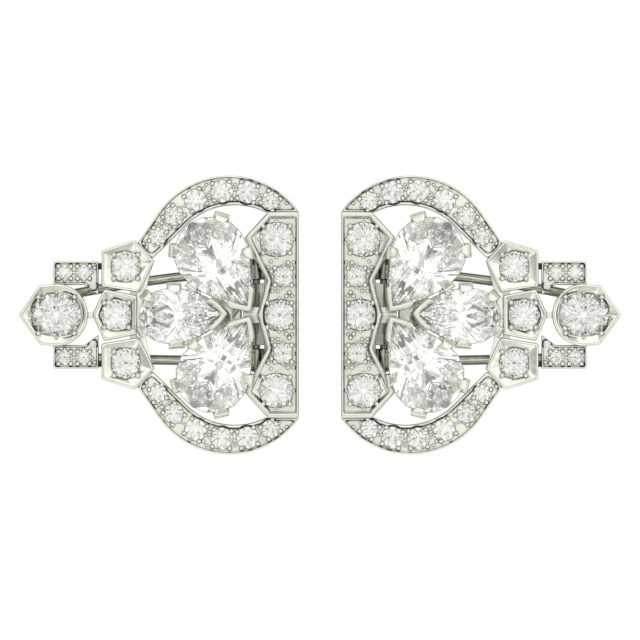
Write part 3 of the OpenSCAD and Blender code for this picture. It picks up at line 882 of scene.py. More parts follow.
    def end_outline(self, rim: float) -> np.ndarray:
        """The end setting: a point, two corners, and a round side towards the boxes.

        Args:
            rim: How far its edges are moved in.

        Returns:
            The corners, counter-clockwise.
        """
        rise = self.end_corner[1] - self.end_centre[1]
        a = math.degrees(math.asin(rise / self.end_radius)) + self.end_open
        corner = np.array([self.end_corner[0] - self.end_shares[0] * rim, self.end_corner[1] - rim])
        side = arc(self.end_centre, self.end_radius - rim, a, 360.0 - a, 40)
        tip = [self.end_tip - self.end_shares[1] * rim, 0.0]
        return np.concatenate([[tip, corner], side, [corner * ACROSS]])

    def bed(self, edge: np.ndarray, inner: np.ndarray, height: float, stone: tuple | None = None,
            reach: float = 0.22) -> Surface:
        """A rimmed bed on the back.

        Args:
            edge: Its outer outline.
            inner: The outline of its bed, corner by corner.
            height: How high its rim lies above the back.
            stone: The row of the one stone that it slopes down to, if it does.
            reach: How far its corners are rounded off.

        Returns:
            The closed surface.
        """
        return RimmedBed(edge, inner, self.back, self.back + height, self.bed_depth + self.bed_cut,
                         reach, stone=StonePlace(*stone) if stone else None).shell()

    def standing(self, u: Pair, v: Pair, height: float) -> Surface:
        """A block that stands on the back."""
        return block(u, v, (self.back, self.back + height))

    def plates(self) -> list[Surface]:
        """All the surfaces that are united into the front."""
        upper, middle, side = map(np.array, (self.upper_box, self.middle_box, self.side_bar))
        heel, turn = self.heel_radius, self.heel_half_turn
        rim = np.concatenate([arc(self.heel_centre, heel + self.heel_width, -turn, turn, 24),
                              arc(self.heel_centre, heel, turn, -turn, 24)])
        single = [self.bed(self.bar_outline(), self.bar_bed(), self.bar_height),
                  slab(rim, self.back, self.back + self.heel_height),
                  self.bed(middle, inset(middle, self.wide_rim), self.box_height, self.box_stones[1]),
                  self.bed(self.end_outline(0.0), self.end_outline(self.wide_rim), self.end_height,
                           self.end_stone)]
        paired = [self.bed(self.arch_outline(0.0, 0.0, 0.0),
                           self.arch_outline(self.outer_rim, self.inner_rim, self.outer_rim),
                           self.arch_height, reach=0.6),
                  self.bed(upper, inset(upper, self.wide_rim), self.box_height, self.box_stones[0]),
                  self.bed(side, inset(side, self.outer_rim), self.side_height),
                  self.standing(*self.knee)]
        ties = [self.standing((near, far), (-half, half), high) for near, far, half, high in self.ties]
        return single + paired + [shell.mirrored(1) for shell in paired] + ties

    def side_ties(self) -> Surface:
        """The two low ties between the side bars and the boxes."""
        u, v, (low, high) = self.side_tie
        tie = block(u, v, (self.back + low, self.back + high))
        return joined([tie, tie.mirrored(1)])

    def stones(self) -> dict[str, list[tuple[StonePlace, float]]]:
        """Each stone node's stones, with the height of the bed that they lie in."""
        arch_z, bar_z, box_z, side_z, end_z = (
            self.back + height - self.bed_depth
            for height in (self.arch_height, self.bar_height, self.box_height,
                           self.side_height, self.end_height))
        arch = [StonePlace(u, v, d, d, 2.0, math.atan2(v - self.arch_centre[1], u - self.arch_centre[0]))
                for u, v, d in self.arch_stones]
        side = [StonePlace(u, v, d, d, 2.0) for u, v, d in self.side_stones]
        held = {f"{name}_box_stone": [(StonePlace(*row), box_z)]
                for name, row in zip(("upper", "middle", "lower"), self.box_stones)}
        held |= {f"bar_stone_{i}": [(StonePlace(*row), bar_z)]
                 for i, row in enumerate(self.bar_stones, start=1)}
        held["end_stone"] = [(StonePlace(*self.end_stone), end_z)]
        held["upper_arch_stones"] = [(place, arch_z) for place in arch]
        held["lower_arch_stones"] = [(place.flipped(), arch_z) for place in arch]
        held["side_bar_stones"] = [(place, side_z) for place in side + [p.flipped() for p in side]]
        return held

    def grain_places(self, grains: Grains, clear: float = 0.1) -> np.ndarray:
        """The beads of every bed, where those below the middle line mirror those above it.

        Args:
            grains: What spreads them.
            clear: How far they keep from the edge of a plain bed.

        Returns:
            Rows of u, v, height and share of the usual radius.
        """
        def beads(word: str, outline: np.ndarray) -> np.ndarray:
            """The beads of the bed that holds the stones whose names start with a word."""
            held = [pair for name, pairs in self.stones().items() if name.startswith(word)
                    for pair in pairs if word != "side_bar" or pair[0].v > 0]
            return grains.field(outline, [place for place, _ in held], held[0][1])

        upper, middle, side = map(np.array, (self.upper_box, self.middle_box, self.side_bar))
        edge = self.outer_rim + clear
        slope = self.wide_rim + 6 * clear
        paired = np.concatenate([
            beads("upper_arch", self.arch_outline(edge, self.inner_rim + clear, self.outer_rim)),
            beads("side_bar", inset(side, edge)), beads("upper_box", inset(upper, slope))])
        single = np.concatenate([
            beads("middle_box", inset(middle, slope)), beads("bar_stone", inset(self.bar_bed(), clear)),
            beads("end_stone", self.end_outline(self.wide_rim + 3 * clear))])
        axis = single[np.abs(single[:, 1]) < 0.01]
        half = np.concatenate([single[single[:, 1] > grains.radius], paired])
        return np.concatenate([axis, half, half * np.array([1.0, -1.0, 1.0, 1.0])])

    def metal(self) -> Surface:
        """The whole front, with the seats of its stones cut through."""
        seats = [place.seat(bed, self.back) for held in self.stones().values() for place, bed in held]
        return fused(self.plates(), seats, "front")


@dataclass(frozen=True)
class ClawRow:
    """A flat claw: the way it faces from the pear's point, its shift and its width."""

    facing: float
    shift: float
    width: float


@dataclass
class PearSetting:
    """Three open baskets for the pears, with flat claws, on one bridge.

    The pears are in the order upper, middle, lower. A place is a row of u, v and the way that
    the point faces, and the lower pear's is that of its mirror image. A ring is two shares of
    the pear's outline, and the ring heights are the low ring's and the high ring's. The angle
    section is rows of distance from the outline and height over the girdle, and its ends are
    the share that is left, the shift and the sinking. The claw bends are rows of distance in
    from the claw's furthest place and height over the girdle. Over the last share of its
    length a claw loses parts of its width and thickness. The strut is its distances from the
    low ring and from the pear's point, half its width, and its height. The post is its
    reaches inside the point and past it, half its width, and its distance below the girdle.
    """

    back: float
    big: PearCut = field(default_factory=lambda: PearCut(3.7, 6.75, 72.0))
    small: PearCut = field(default_factory=lambda: PearCut(2.75, 5.9, 100.0))
    heights: tuple = (4.0, 3.2, 4.0)
    base: float = 0.5
    thick: float = 0.45
    lip: float = 0.42
    claw_slope: float = 0.84 / 0.91
    claw_gap: float = 0.1
    claw_knee: float = 0.3
    claw_bends: tuple = ((0.0, -0.35), (0.0, 0.3), (0.16, 0.52))
    claw_lip: Pair = (0.44, 0.688)
    claw_fade: float = 0.28
    claw_fades: Pair = (0.75, 0.5)
    low_ring: Pair = (0.62, 0.48)
    high_ring: Pair = (0.93, 0.80)
    ring_heights: Pair = (0.5, 0.35)
    under: float = 0.26
    angle_rounding: float = 0.09
    angle_fade: float = 0.12
    angle_ends: tuple = (0.75, 0.05, 0.1)
    strut: tuple = (0.05, 0.45, 0.25, 0.47)
    post: tuple = (0.55, 0.2, 0.3, 0.6)
    places: tuple = ((8.80, 6.15, -124.5), (13.25, -0.12, 177.5), (8.65, 6.10, -122.4))
    claws: tuple = (((-129, 0, 1.65), (129, 0, 1.50), (70, 0.38, 1.30), (-68, 0.80, 1.50)),
                    ((-88, 0.80, 1.50), (88, 0.80, 1.65), (-132, 0, 1.20), (151, 0, 1.20)),
                    ((-134, 0, 1.65), (137, 0, 1.50), (70, 0.38, 1.30), (-70, 0.40, 1.40)))
    point_arms: tuple = (1.7, 1.5, 1.7)
    angle_section: tuple = ((0.40, -0.9), (0.40, 0.46), (0.10, 0.66), (-0.34, 0.66),
                            (-0.36, 0.50), (0.05, 0.34), (0.05, -0.9))
    bridge: tuple = ((9.83, 10.8), (-4.63, 4.63), 0.41)

    @property
    def forms(self) -> tuple[PearCut, ...]:
        """The pears' outlines."""
        return self.big, self.small, self.big

    def laid(self, shell: Surface, index: int) -> Surface:
        """A surface drawn round a pear's centre, put in that pear's place."""
        u, v, turn = self.places[index]
        placed = shell.turned(turn).moved(u, v)
        return placed.mirrored(1) if index == 2 else placed

    def hoop(self, form: PearCut, shares: Pair, low: float, high: float) -> Surface:
        """A ring between two shares of the pear's outline, with a rounded section.

        Args:
            form: The pear's outline.
            shares: The larger share and the smaller one.
            low: Height of its underside.
            high: Height of its top.

        Returns:
            The closed surface.
        """
        a = around(96)[:, None]
        mid, half = sum(shares) / 2, (shares[0] - shares[1]) / 2
        section = rounded_section(2.0, high - low, 4.0, 16)
        r = form.reach(a) * (mid + half * section[None, :, 0])
        return lofted(ringed(r, a, (low + high) / 2 + section[None, :, 1])[:, ::-1], closed=True)

    def claw(self, form: PearCut, girdle: float, row: ClawRow) -> Surface:
        """A flat tab that rises under the stone, flares out, and folds in over the girdle.

        Its centre line runs through a foot, a knee under the stone, a shoulder outside the
        girdle and a lip over it, smoothed by three rounds of corner cutting. The width
        narrows towards the lip and rounds off over the shoulder.

        Args:
            form: The pear's outline.
            girdle: The girdle's height.
            row: The claw's facing, shift and width.

        Returns:
            The closed surface.
        """
        reach = form.furthest(row.facing)
        foot = self.low_ring[0] * form.head - self.thick / 2
        out = reach + self.claw_gap + self.thick / 2
        knee = girdle - self.claw_knee - (out - foot) * self.claw_slope
        line = np.array([(foot, self.back + self.base), (foot, knee),
                         *((out - depth, girdle + rise) for depth, rise in self.claw_bends),
                         (reach - self.lip, girdle + self.claw_lip[0] + self.claw_lip[1] * self.lip)])
        for _ in range(3):
            inner = np.stack([0.75 * line[:-1] + 0.25 * line[1:], 0.25 * line[:-1] + 0.75 * line[1:]], 1)
            line = np.concatenate([line[:1], inner.reshape(-1, 2), line[-1:]])
        steps = np.concatenate([[0.0], np.cumsum(np.linalg.norm(np.diff(line, axis=0), axis=1))])
        tangent = unit(np.gradient(line, axis=0))
        level = np.zeros(len(line))
        path = np.stack([line[:, 0], level, line[:, 1]], 1)
        up = np.stack([-tangent[:, 1], level, tangent[:, 0]], 1)
        past = np.clip((steps / steps[-1] - (1 - self.claw_fade)) / self.claw_fade, 0.0, 1.0)
        wide = np.sqrt(1.0 - self.claw_fades[0] * past ** 2.2)
        shell = swept(path, np.array([[0.0, 1.0, 0.0]]), up, rounded_section(row.width, self.thick, 5.0),
                      np.stack([wide, 1.0 - self.claw_fades[1] * past], 1))
        return shell.moved(v=-math.copysign(row.shift, row.facing)).turned(row.facing)

    def point_claw(self, form: PearCut, girdle: float, arm: float) -> Surface:
        """The two-legged claw at a pear's point: an angle section carried round the outline.

        At angle a of the outline and section point (o, z) the surface lies at the outline's
        distance plus o, at height z. Near both ends o shrinks and shifts, and z sinks.

        Args:
            form: The pear's outline.
            girdle: The girdle's height.
            arm: Length of each leg along the pear.

        Returns:
            The closed surface.
        """
        back = form.angle_back_from_point(arm)
        a = back * np.linspace(-1.0, 1.0, 41)[:, None]
        section = softened(np.array(self.angle_section), self.angle_rounding, 4)
        taper = np.clip((1.0 - np.abs(a) / back) / self.angle_fade, 0.0, 1.0) ** 0.5
        share, shift, sink = self.angle_ends
        o = section[None, :, 0] * (share + (1 - share) * taper) + shift * (1 - taper)
        z = section[None, :, 1] - sink * (1 - taper)
        return lofted(ringed(form.reach(a) + o, a, girdle + z)[:, ::-1])

    def basket(self, index: int) -> list[Surface]:
        """The basket under one pear, in place: two rings, claws, and a strut and post at its point.

        Args:
            index: Which pear.

        Returns:
            The closed surfaces.
        """
        form, girdle = self.forms[index], self.back + self.heights[index]
        base = self.back + self.base
        top = girdle - self.under * form.head
        low_high, high_high = self.ring_heights
        start, stop, half, rise = self.strut
        inner, outer, wide, fall = self.post
        foot, point = self.low_ring[1] * form.length, form.length
        pieces = [self.hoop(form, self.low_ring, base, base + low_high),
                  self.hoop(form, self.high_ring, top - high_high, top),
                  self.point_claw(form, girdle, self.point_arms[index]),
                  block((foot + start, point - stop), (-half, half), (base, base + rise)),
                  block((point - inner, point + outer), (-wide, wide), (base, girdle - fall))]
        pieces += [self.claw(form, girdle, ClawRow(*row)) for row in self.claws[index]]
        return [self.laid(piece, index) for piece in pieces]

    def metal(self) -> Surface:
        """The whole setting."""
        base = self.back + self.base
        u, v, height = self.bridge
        pieces = [piece for index in range(3) for piece in self.basket(index)]
        return fused(pieces + [block(u, v, (base, base + height))], [], "setting")


@dataclass
class ClipFitting:
    """The back of a clip: leaf and fixed barrel, pin, and the fork with its two prongs."""

    back: float
    axis_u: float
    sunk: float = 0.01
    hinge_bevel: float = 0.12
    axis_v: float = 0.08
    barrel: float = 1.2
    pin: float = 0.4
    clearance: float = 0.02
    fixed_half: float = 3.10
    moving_in: float = 3.46
    moving_out: float = 5.75
    leaf_u: Pair = (0.6, 3.5)
    leaf_thick: float = 0.5
    web_u: float = 2.4
    web_cover: float = 0.1
    pin_past: float = 0.1
    pin_bevel: float = 0.15
    plate_u: Pair = (5.75, 8.3)
    plate_z: Pair = (0.72, 1.48)
    arm_u: float = 6.0
    arm_z: float = 1.82
    prong_radius: float = 0.5
    root_u: float = 7.4
    root_z: float = 1.1
    low_u: float = 14.0
    tip_u: float = 24.4
    tip_z: float = 2.33
    prongs: tuple = ((4.15, 1.75), (-4.6, -4.2))
    bend: float = 1.5
    nose: float = 0.03

    def on_axis(self, radius: float, low: float, high: float, bevel: float) -> Surface:
        """A rod on the hinge's axis, between two distances from the hinge's middle."""
        return turned_pin(radius, low, high, bevel).moved(self.axis_u, self.axis_v, self.barrel)

    def beside(self, u: Pair, low: float, high: float, z: Pair, bevel: float = 0.06) -> Surface:
        """A block between two distances from the hinge's middle."""
        return block(u, (self.axis_v + low, self.axis_v + high), z, bevel)

    def bored(self, parts: list[Surface], label: str) -> Surface:
        """Some parts united, with the hole for the pin drilled out."""
        reach = 1.5 * self.moving_out
        return fused(parts, [self.on_axis(self.pin + self.clearance, -reach, reach, 0.05)], label)

    def leaf(self) -> Surface:
        """The leaf soldered to the bar, with its web and barrel."""
        half, outer = self.fixed_half, self.moving_out
        return self.bored([
            self.beside(self.leaf_u, -outer, outer, (self.back - self.leaf_thick, self.back)),
            self.beside((self.web_u, self.axis_u), self.sunk - half, half - self.sunk,
                        (self.barrel, self.back - self.web_cover)),
            self.on_axis(self.barrel, -half, half, self.hinge_bevel)], "leaf")

    def hinge_pin(self) -> Surface:
        """The pin, with its ends rounded over."""
        reach = self.moving_out + self.pin_past
        return self.on_axis(self.pin, -reach, reach, self.pin_bevel)

    def prong(self, across: Pair) -> Surface:
        """A curved wire: it dips to the surface, rises to its tip and bends sideways.

        At share t along, u runs evenly from root to tip, v is the first value plus the
        difference times t to the bend's power, and z is a parabola on either side of the
        low point. The radius rounds off to nothing over the nose, the last share of length.

        Args:
            across: The prong's v at its root and at its tip.

        Returns:
            The closed surface.
        """
        low, start = self.prong_radius, 1 - self.nose
        t = np.concatenate([np.linspace(0.0, start, 60),
                            start + self.nose * np.sin(np.linspace(0.0, np.pi / 2, 8))[1:]])
        u = self.root_u + (self.tip_u - self.root_u) * t
        before = low + (self.root_z - low) * ((self.low_u - u) / (self.low_u - self.root_u)) ** 2
        after = low + (self.tip_z - low) * ((u - self.low_u) / (self.tip_u - self.low_u)) ** 2
        path = np.stack([u, across[0] + (across[1] - across[0]) * t ** self.bend,
                         np.where(u < self.low_u, before, after)], 1)
        tangent = unit(np.gradient(path, axis=0))
        sideways = unit(np.stack([-tangent[:, 1], tangent[:, 0], np.zeros(len(t))], 1))
        size = np.sqrt(np.maximum(1 - np.clip((t - start) / self.nose, 0.0, 1.0) ** 2, 0.01))
        return swept(path, sideways, np.cross(tangent, sideways), rounded_section(2 * low, 2 * low, 2.0),
                     np.stack([size, size], 1))

    def fork(self) -> Surface:
        """The moving barrels, the plate and the prongs."""
        inner, outer = self.moving_in, self.moving_out
        parts = [self.beside(self.plate_u, -outer, outer, self.plate_z, self.hinge_bevel)]
        for low, high in ((inner, outer), (-outer, -inner)):
            parts.append(self.on_axis(self.barrel, low, high, self.hinge_bevel))
            parts.append(self.beside((self.axis_u, self.arm_u), low + self.sunk, high - self.sunk,
                                     (self.plate_z[0], self.arm_z)))
        return self.bored(parts + [self.prong(across) for across in self.prongs], "fork")


def feed(tree: Tree, made: bpy.types.Node, inputs: dict[str | int, object]) -> None:
    """Links each input that is given a socket, and sets each that is given a value.

    Args:
        tree: The nodes that the node belongs to.
        made: The node.
        inputs: A socket or a value for each input.
    """
    for name, value in inputs.items():
        if isinstance(value, Socket):
            tree.links.new(value, made.inputs[name])
        else:
            made.inputs[name].default_value = value


def node(tree: Tree, kind: str, inputs: dict[str | int, object] | None = None,
         **settings: str | int) -> bpy.types.Node:
    """A new shader node.

    Args:
        tree: The nodes that it joins.
        kind: Its type, without the words that all types start with.
        inputs: A socket or a value for each input that isn't left as it is.
        **settings: Its own properties.

    Returns:
        The node.
    """
    made = tree.nodes.new(f"ShaderNode{kind}")
    for name, value in settings.items():
        setattr(made, name, value)
    feed(tree, made, inputs or {})
    return made


def noise(tree: Tree, scale: float, detail: float, source: Socket) -> Socket:
    """A noise pattern on coordinates, with its repeats in a metre and octaves of finer noise."""
    return node(tree, "TexNoise", {"Scale": scale, "Detail": detail, "Vector": source}).outputs["Fac"]


def part_of(tree: Tree, vector: Socket, axis: str) -> Socket:
    """One coordinate of a vector."""
    return node(tree, "SeparateXYZ", {"Vector": vector}).outputs[axis]


def size_of(tree: Tree, vector: Socket, axis: str) -> Socket:
    """The size of one coordinate of a vector, without its sign."""
    return node(tree, "Math", {0: part_of(tree, vector, axis)}, operation="ABSOLUTE").outputs["Value"]


def ranged(tree: Tree, value: Socket, source: Pair, target: Pair) -> Socket:
    """Maps a value from one range onto another, and holds it at the ends."""
    return node(tree, "MapRange", {
        "From Min": source[0], "From Max": source[1], "To Min": target[0], "To Max": target[1],
        "Value": value}).outputs["Result"]


def blended(tree: Tree, share: Socket, one: Socket | tuple, two: Socket | tuple) -> Socket:
    """One colour where the share is 0, the other where it is 1."""
    return node(tree, "Mix", {"A": one, "B": two, "Factor": share}, data_type="RGBA").outputs["Result"]


class Finish:
    """A surface finish, made as a procedural material."""

    name: str
    slot: Slot = Slot.DIAMOND

    def material(self) -> bpy.types.Material:
        """Makes the material, or returns the one made before."""
        made = bpy.data.materials.get(self.name)
        if made is None:
            made = bpy.data.materials.new(self.name)
            made.use_nodes = True
            feed(made.node_tree, made.node_tree.nodes["Principled BSDF"], self.look(made.node_tree))
        return made

    def look(self, tree: Tree) -> dict[str, object]:
        """What the shader's inputs are given, with the nodes that they need."""
        raise NotImplementedError


@dataclass(frozen=True)
class PolishedMetal(Finish):
    """Polished white metal, softly worn, with painted shade on its flanks and in its corners.

    The noises' scales are repeats in a metre, and distances are millimetres. Flank, corner
    shade, hinge shade and back are the shares of the colour that are left on upright sides, in
    corners, near the hinges and on faces that look back: all four are painted shade.
    """

    name: str
    light: tuple[float, float, float]
    dark: tuple[float, float, float]
    slot: Slot = Slot.PLATINUM
    smooth: float = 0.12
    worn: float = 0.24
    flank: float = 0.48
    turned: Pair = (0.45, 0.85)
    back: float = 0.62
    backward: Pair = (-0.9, -0.5)
    film: float = 0.58
    corner: float = 0.35
    shut: Pair = (0.3, 0.85)
    hinge_shade: float = 1.0
    hinge: Pair = (7.6, 8.4)
    middle: Pair = (0.3, 0.7)
    clouds: float = 900.0
    wear: float = 2600.0
    dents: float = 1800.0
    dent: float = 0.15
    dent_height: float = 0.02

    def look(self, tree: Tree) -> dict[str, object]:
        """Colour from noise darkened by painted shade, roughness from noise, and fine dents.

        Args:
            tree: The material's nodes.

        Returns:
            What the shader's inputs are given.
        """
        place = node(tree, "TexCoord").outputs
        cloud = ranged(tree, noise(tree, self.clouds, 3.0, place["Object"]), self.middle, (0.0, 1.0))
        colour = blended(tree, cloud, (*self.dark, 1.0), (*self.light, 1.0))
        # Each share darkens the colour: painted shade.
        for share in self.shares(tree, place["Normal"], place["Object"]):
            colour = node(tree, "VectorMath", {0: colour, "Scale": share},
                          operation="SCALE").outputs["Vector"]
        worn = noise(tree, self.wear, 4.0, place["Object"])
        dents = node(tree, "Bump", {"Strength": self.dent, "Distance": self.dent_height * MM,
                                    "Height": noise(tree, self.dents, 3.0, place["Object"])})
        return {"Metallic": 1.0, "Base Color": colour, "Normal": dents.outputs["Normal"],
                "Roughness": ranged(tree, worn, self.middle, (self.smooth, self.worn))}

    def shares(self, tree: Tree, normal: Socket, place: Socket) -> list[Socket]:
        """Painted shade: what is left of the colour on flanks, on backs, in corners and near the hinges.

        Args:
            tree: The material's nodes.
            normal: The way that the surface faces.
            place: Where it lies.

        Returns:
            The four shares.
        """
        # Painted shade in corners: ambient occlusion darkens the colour where other surfaces lie within
        # the corner distance.
        shut = node(tree, "AmbientOcclusion", {"Distance": self.corner * MM}, samples=8).outputs["AO"]
        near, far = self.hinge
        # Painted shade: upright sides, faces that look back, and metal near the middle of the pair by
        # the hinges are darkened.
        return [ranged(tree, size_of(tree, normal, "Z"), self.turned, (self.flank, 1.0)),
                ranged(tree, part_of(tree, normal, "Z"), self.backward, (self.back, 1.0)),
                ranged(tree, shut, self.shut, (self.film, 1.0)),
                ranged(tree, size_of(tree, place, "X"), (near * MM, far * MM), (self.hinge_shade, 1.0))]


@dataclass(frozen=True)
class Diamond(Finish):
    """Colourless diamond: clear, with a high refractive index, and a faint painted glow where one is
    set.
    """

    name: str
    tint: float = 1.0
    index: float = 2.42
    painted_glow: float = 0.0
    glow_colour: tuple[float, float, float] = (0.97, 1.0, 0.94)

    def look(self, tree: Tree) -> dict[str, object]:
        """A clear shader without any haze: its facets make what shows, and where a painted glow is set
        the stone glows faintly from within.
        """
        return {"Base Color": (self.tint, self.tint, self.tint, 1.0), "Transmission Weight": 1.0,
                "IOR": self.index, "Roughness": 0.0, "Emission Color": (*self.glow_colour, 1.0),
                "Emission Strength": self.painted_glow}


@dataclass(frozen=True)
class Ground(Finish):
    """The ground girdle of a stone: dull and grey."""

    name: str
    colour: tuple[float, float, float] = (0.42, 0.43, 0.42)
    rough: float = 0.7

    def look(self, tree: Tree) -> dict[str, object]:
        """A dull shader of one colour."""
        return {"Base Color": (*self.colour, 1.0), "Roughness": self.rough}


@dataclass(frozen=True)
class Glow(Finish):
    """A dull surface that is lit evenly from within."""

    name: str
    strength: float
    grey: float = 0.2

    def look(self, tree: Tree) -> dict[str, object]:
        """A dark shader that sends out white light."""
        return {"Base Color": (self.grey, self.grey, self.grey, 1.0), "Roughness": 1.0,
                "Specular IOR Level": 0.0, "Emission Color": (1.0, 1.0, 1.0, 1.0),
                "Emission Strength": self.strength}


# The hinge shade darkens the metal near the middle of the pair, where it lies in shadow: painted shade.
PLATINUM = PolishedMetal("polished_platinum", (0.94, 0.945, 0.88), (0.84, 0.845, 0.775),
                         hinge_shade=0.86)
# The baskets are the same platinum with darker colours: painted shade for the metal under the pears.
SETTING = PolishedMetal("polished_setting", (0.85, 0.855, 0.79), (0.76, 0.765, 0.70), flank=0.75,
                        film=0.9)
BEADED = PolishedMetal("polished_beads", (0.94, 0.945, 0.88), (0.84, 0.845, 0.775), flank=0.75,
                       film=0.72)
# Near black: a painted shadow for the side ties, which lie deep in the shade between the bars and the
# boxes.
SHADOW_BLACK = PolishedMetal("shadow_black_platinum", (0.06, 0.06, 0.05), (0.04, 0.04, 0.035))
# Darker than the platinum, partly as its own alloy and partly as painted shade for fittings that lie in
# shadow under the front; its flank and hinge shares are painted shade too.
WHITE_GOLD = PolishedMetal("polished_white_gold", (0.68, 0.69, 0.60), (0.48, 0.49, 0.42),
                           slot=Slot.FITTING, smooth=0.06, worn=0.12, flank=0.12, hinge_shade=0.65,
                           back=0.9, turned=(0.7, 0.88))
DIAMOND = Diamond("clear_diamond", tint=0.88)
# The pears glow faintly from within: painted light.
GLOWING_DIAMOND = Diamond("bright_diamond", painted_glow=0.035)
GIRDLE = Ground("ground_girdle")


@dataclass(frozen=True)
class Piece:
    """A surface of one clip's plan as a finished piece, named without its side.

    It stands for the nodes that it names, also without their side, rides on a body, and has
    sharp edges where its faces turn by more than an angle in degrees.
    """

    shell: Surface
    name: str
    finish: Finish
    nodes: tuple[str, ...] = ()
    body: Body = Body.CLIPS
    sharp: float = 32.0


@dataclass
class Bench:
    """Puts finished pieces of one clip into the scene."""

    side: Side
    gap: float

    @staticmethod
    def grind(mesh: bpy.types.Mesh) -> None:
        """Gives a stone's girdle, which is all its four-sided facets, the ground finish."""
        mesh.materials.append(GIRDLE.material())
        ground = pulled(mesh.polygons, "loop_total") == 4
        mesh.polygons.foreach_set("material_index", ground.astype(int))

    def put(self, piece: Piece) -> None:
        """Makes a piece on this side, dresses it and says what it rides on and stands for.

        Args:
            piece: The piece.
        """
        label = f"{self.side.label}_{piece.name}"
        placed = piece.shell.moved(u=self.gap / 2)
        mesh = mesh_of(placed.mirrored(0) if self.side is Side.LEFT else placed, label, MM)
        mesh.validate()
        mesh.update()
        mark_edges(mesh, piece.sharp)
        made = object_of(mesh)
        mesh.materials.append(piece.finish.material())
        if isinstance(piece.finish, Diamond):
            self.grind(mesh)
        body = piece.body.value
        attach(made, body if piece.body is Body.CLIPS else f"{self.side.label}_{body}")
        if piece.nodes:
            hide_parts(*[f"{self.side.label}_{node_name}" for node_name in piece.nodes])
        log.info("%s: %d faces", label, len(mesh.polygons))


@dataclass
class Clip:
    """Shapes of one clip in its own plan, made once and placed on both sides.

    Each stone of the front leans a little its own way, as stones set by hand do. The way in
    radians is the sum of the stone's place times the lean's turns.
    """

    back: float
    axis_u: float
    lean: float = 0.05
    lean_turns: Pair = (12.9, 7.7)
    cutter: StoneCutter = field(default_factory=lambda: StoneCutter(
        table=0.46, star=0.72, lower=0.92, crown=0.17, pavilion=0.405))
    pear_cutter: StoneCutter = field(default_factory=lambda: StoneCutter(
        table=0.42, star=0.64, lower=0.78, girdle=0.035))

    def metal(self) -> list[Piece]:
        """The pieces of metal."""
        front, fitting = PiercedFront(self.back), ClipFitting(self.back, self.axis_u)
        grains = Grains()
        return [Piece(front.metal(), "pierced_front", PLATINUM, ("frame",)),
                # Painted shadow: the side ties are near black.
                Piece(front.side_ties(), "side_ties", SHADOW_BLACK),
                Piece(grains.spread(front.grain_places(grains)), "grains", BEADED),
                Piece(PearSetting(self.back).metal(), "pear_baskets", SETTING, ("pear_setting",)),
                Piece(fitting.leaf(), "back_leaf", WHITE_GOLD, ("hinge_plate",)),
                Piece(fitting.hinge_pin(), "pin", WHITE_GOLD, ("hinge_pin",)),
                Piece(fitting.fork(), "prongs", WHITE_GOLD, ("fork",), Body.PRONGS)]

    def stones(self) -> list[Piece]:
        """The stones, whose edges are all sharp."""
        made = {name: (joined([self.laid(place, bed) for place, bed in held]), DIAMOND)
                for name, held in PiercedFront(self.back).stones().items()}
        setting = PearSetting(self.back)
        for index, name in enumerate(("upper_pear", "middle_pear", "lower_pear")):
            laid = setting.laid(self.pear_cutter.cut(setting.forms[index]), index)
            made[name] = (laid.moved(z=self.back + setting.heights[index]), GLOWING_DIAMOND)
        return [Piece(shell, f"cut_{name}", finish, (name,), sharp=0.5)
                for name, (shell, finish) in made.items()]

    def laid(self, place: StonePlace, bed: float) -> Surface:
        """A stone of the front, cut, leant and moved to its place."""
        towards = float(np.dot(self.lean_turns, (place.u, place.v)))
        return self.cutter.cut(place).leaning(self.lean, towards).moved(place.u, place.v, bed)


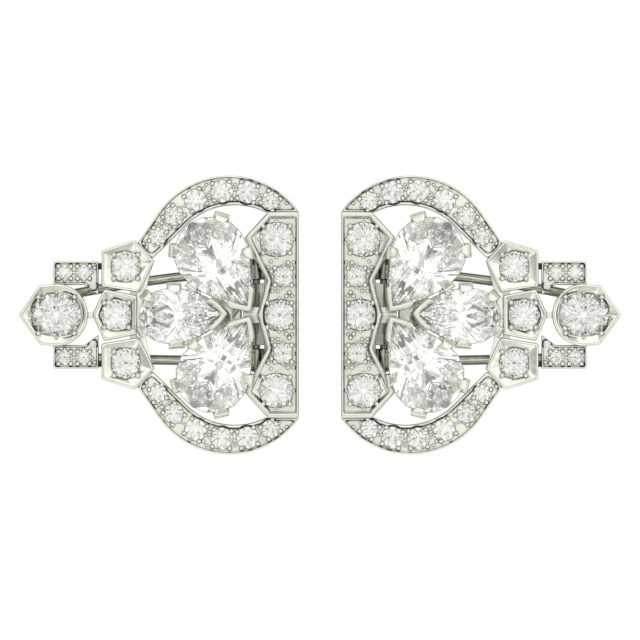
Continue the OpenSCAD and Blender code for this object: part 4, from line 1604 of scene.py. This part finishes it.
@dataclass
class Studio:
    """A pale table under soft light, and the camera straight above the pair.

    Panels, heights and tints are rows of place, red, green and blue. The sensor is the
    camera's own, in its millimetres. The view's v, the middle height and the table's depth
    are millimetres of the part, and the other lengths are metres.
    """

    view_width: float = 0.064
    distance: float = 1.0
    sensor: float = 36.0
    view_v: float = -0.5
    mid_height: float = 5.0
    table_depth: float = 30.0
    table_reach: float = 3.0
    table_glow: float = 1.1
    seen_from: float = 0.05
    seen_to: float = 10.0
    turns: int = 18
    panel_scale: float = 3.0
    panels: tuple = ((0.0, 0.45, 0.45, 0.45), (0.10, 0.66, 0.66, 0.66),
                     (0.28, 0.92, 0.92, 0.92), (0.55, 1.22, 1.22, 1.22))
    heights: tuple = ((0.0, 0.5, 0.5, 0.5), (0.3, 0.85, 0.85, 0.85), (0.6, 1.0, 1.0, 1.0),
                      (0.92, 1.0, 1.0, 0.98), (0.97, 0.95, 0.95, 0.94), (1.0, 0.88, 0.88, 0.87))
    tints: tuple = ((0.0, 0.975, 1.0, 0.955), (0.88, 1.0, 0.95, 0.80), (0.94, 0.88, 0.94, 1.0))

    def camera(self) -> None:
        """Looks straight down; the frame is as wide as the photo's 64 mm at mid height."""
        data = bpy.data.cameras.new("camera")
        data.sensor_width = self.sensor
        data.lens = self.sensor * self.distance / self.view_width
        data.clip_start, data.clip_end = self.seen_from, self.seen_to
        made = object_of(data)
        made.location = (0.0, self.view_v * MM, self.distance + self.mid_height * MM)
        bpy.context.scene.camera = made

    def table(self) -> None:
        """A light table, deep enough for the open forks, and lit evenly from within.

        The camera looks through it at the white world, so the back can be seen too.
        """
        reach, low = self.table_reach, -self.table_depth * MM
        corners = np.array([[-reach, -reach], [reach, -reach], [reach, reach], [-reach, reach]])
        made = object_of(mesh_of(Surface(raised(corners, low), [np.arange(4)[None]]), "table"))
        made.visible_camera = False
        made.data.materials.append(Glow("table", self.table_glow).material())

    def light(self) -> None:
        """A tent of many panels, some white and some grey, grey overhead and dim low down.

        The directions are split into cells, each with a level and a faint tint of its own,
        and the whole is scaled by the direction's height above the horizon.
        """
        world = bpy.data.worlds.new("tent")
        bpy.context.scene.world = world
        world.use_nodes = True
        tree = world.node_tree
        way = node(tree, "TexCoord").outputs["Generated"]
        cells = node(tree, "TexVoronoi", {"Scale": self.panel_scale, "Vector": way})
        parts = node(tree, "SeparateColor", {"Color": cells.outputs["Color"]}).outputs
        lit = self.ramp(tree, parts["Red"], self.panels, "CONSTANT")
        for factor in (self.ramp(tree, part_of(tree, way, "Z"), self.heights, "LINEAR"),
                       self.ramp(tree, parts["Green"], self.tints, "CONSTANT")):
            lit = node(tree, "VectorMath", {0: lit, 1: factor}, operation="MULTIPLY").outputs["Vector"]
        seen = node(tree, "LightPath").outputs["Is Camera Ray"]
        feed(tree, tree.nodes["Background"], {"Color": blended(tree, seen, lit, (1.0, 1.0, 1.0, 1.0))})

    @staticmethod
    def ramp(tree: Tree, value: Socket, stops: tuple, interpolation: str) -> Socket:
        """A colour ramp.

        Args:
            tree: The world's nodes.
            value: What is looked up.
            stops: Rows of place, red, green and blue.
            interpolation: How the ramp runs between its stops.

        Returns:
            The ramp's colour.
        """
        made = node(tree, "ValToRGB", {"Fac": value})
        made.color_ramp.interpolation = interpolation
        while len(made.color_ramp.elements) < len(stops):
            made.color_ramp.elements.new(0.5)
        for element, (place, *colour) in zip(made.color_ramp.elements, stops):
            element.position = place
            element.color = (*colour, 1.0)
        return made.outputs["Color"]

    def build(self) -> None:
        """Sets up the camera, the table and the light, which may turn often inside a stone."""
        self.camera()
        self.table()
        self.light()
        bpy.context.scene.view_settings.view_transform = "Standard"
        bpy.context.scene.cycles.max_bounces = self.turns
        bpy.context.scene.cycles.glossy_bounces = self.turns
        bpy.context.scene.cycles.transmission_bounces = self.turns


def main() -> None:
    """Builds the clip's shapes from the frame's own sizes and places both clips."""
    logging.basicConfig(level=logging.INFO, format="%(message)s")
    low, _ = (np.array(corner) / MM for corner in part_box("right_frame"))
    pin_low, pin_high = (np.array(corner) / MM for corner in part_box("right_hinge_pin"))
    gap = 2 * low[0]
    clip = Clip(back=float(low[2]), axis_u=float(pin_low[0] + pin_high[0]) / 2 - gap / 2)
    pieces = clip.metal() + clip.stones()
    for side in Side:
        bench = Bench(side, gap)
        for piece in pieces:
            bench.put(piece)
    Studio().build()


if __name__ == "__main__":
    main()
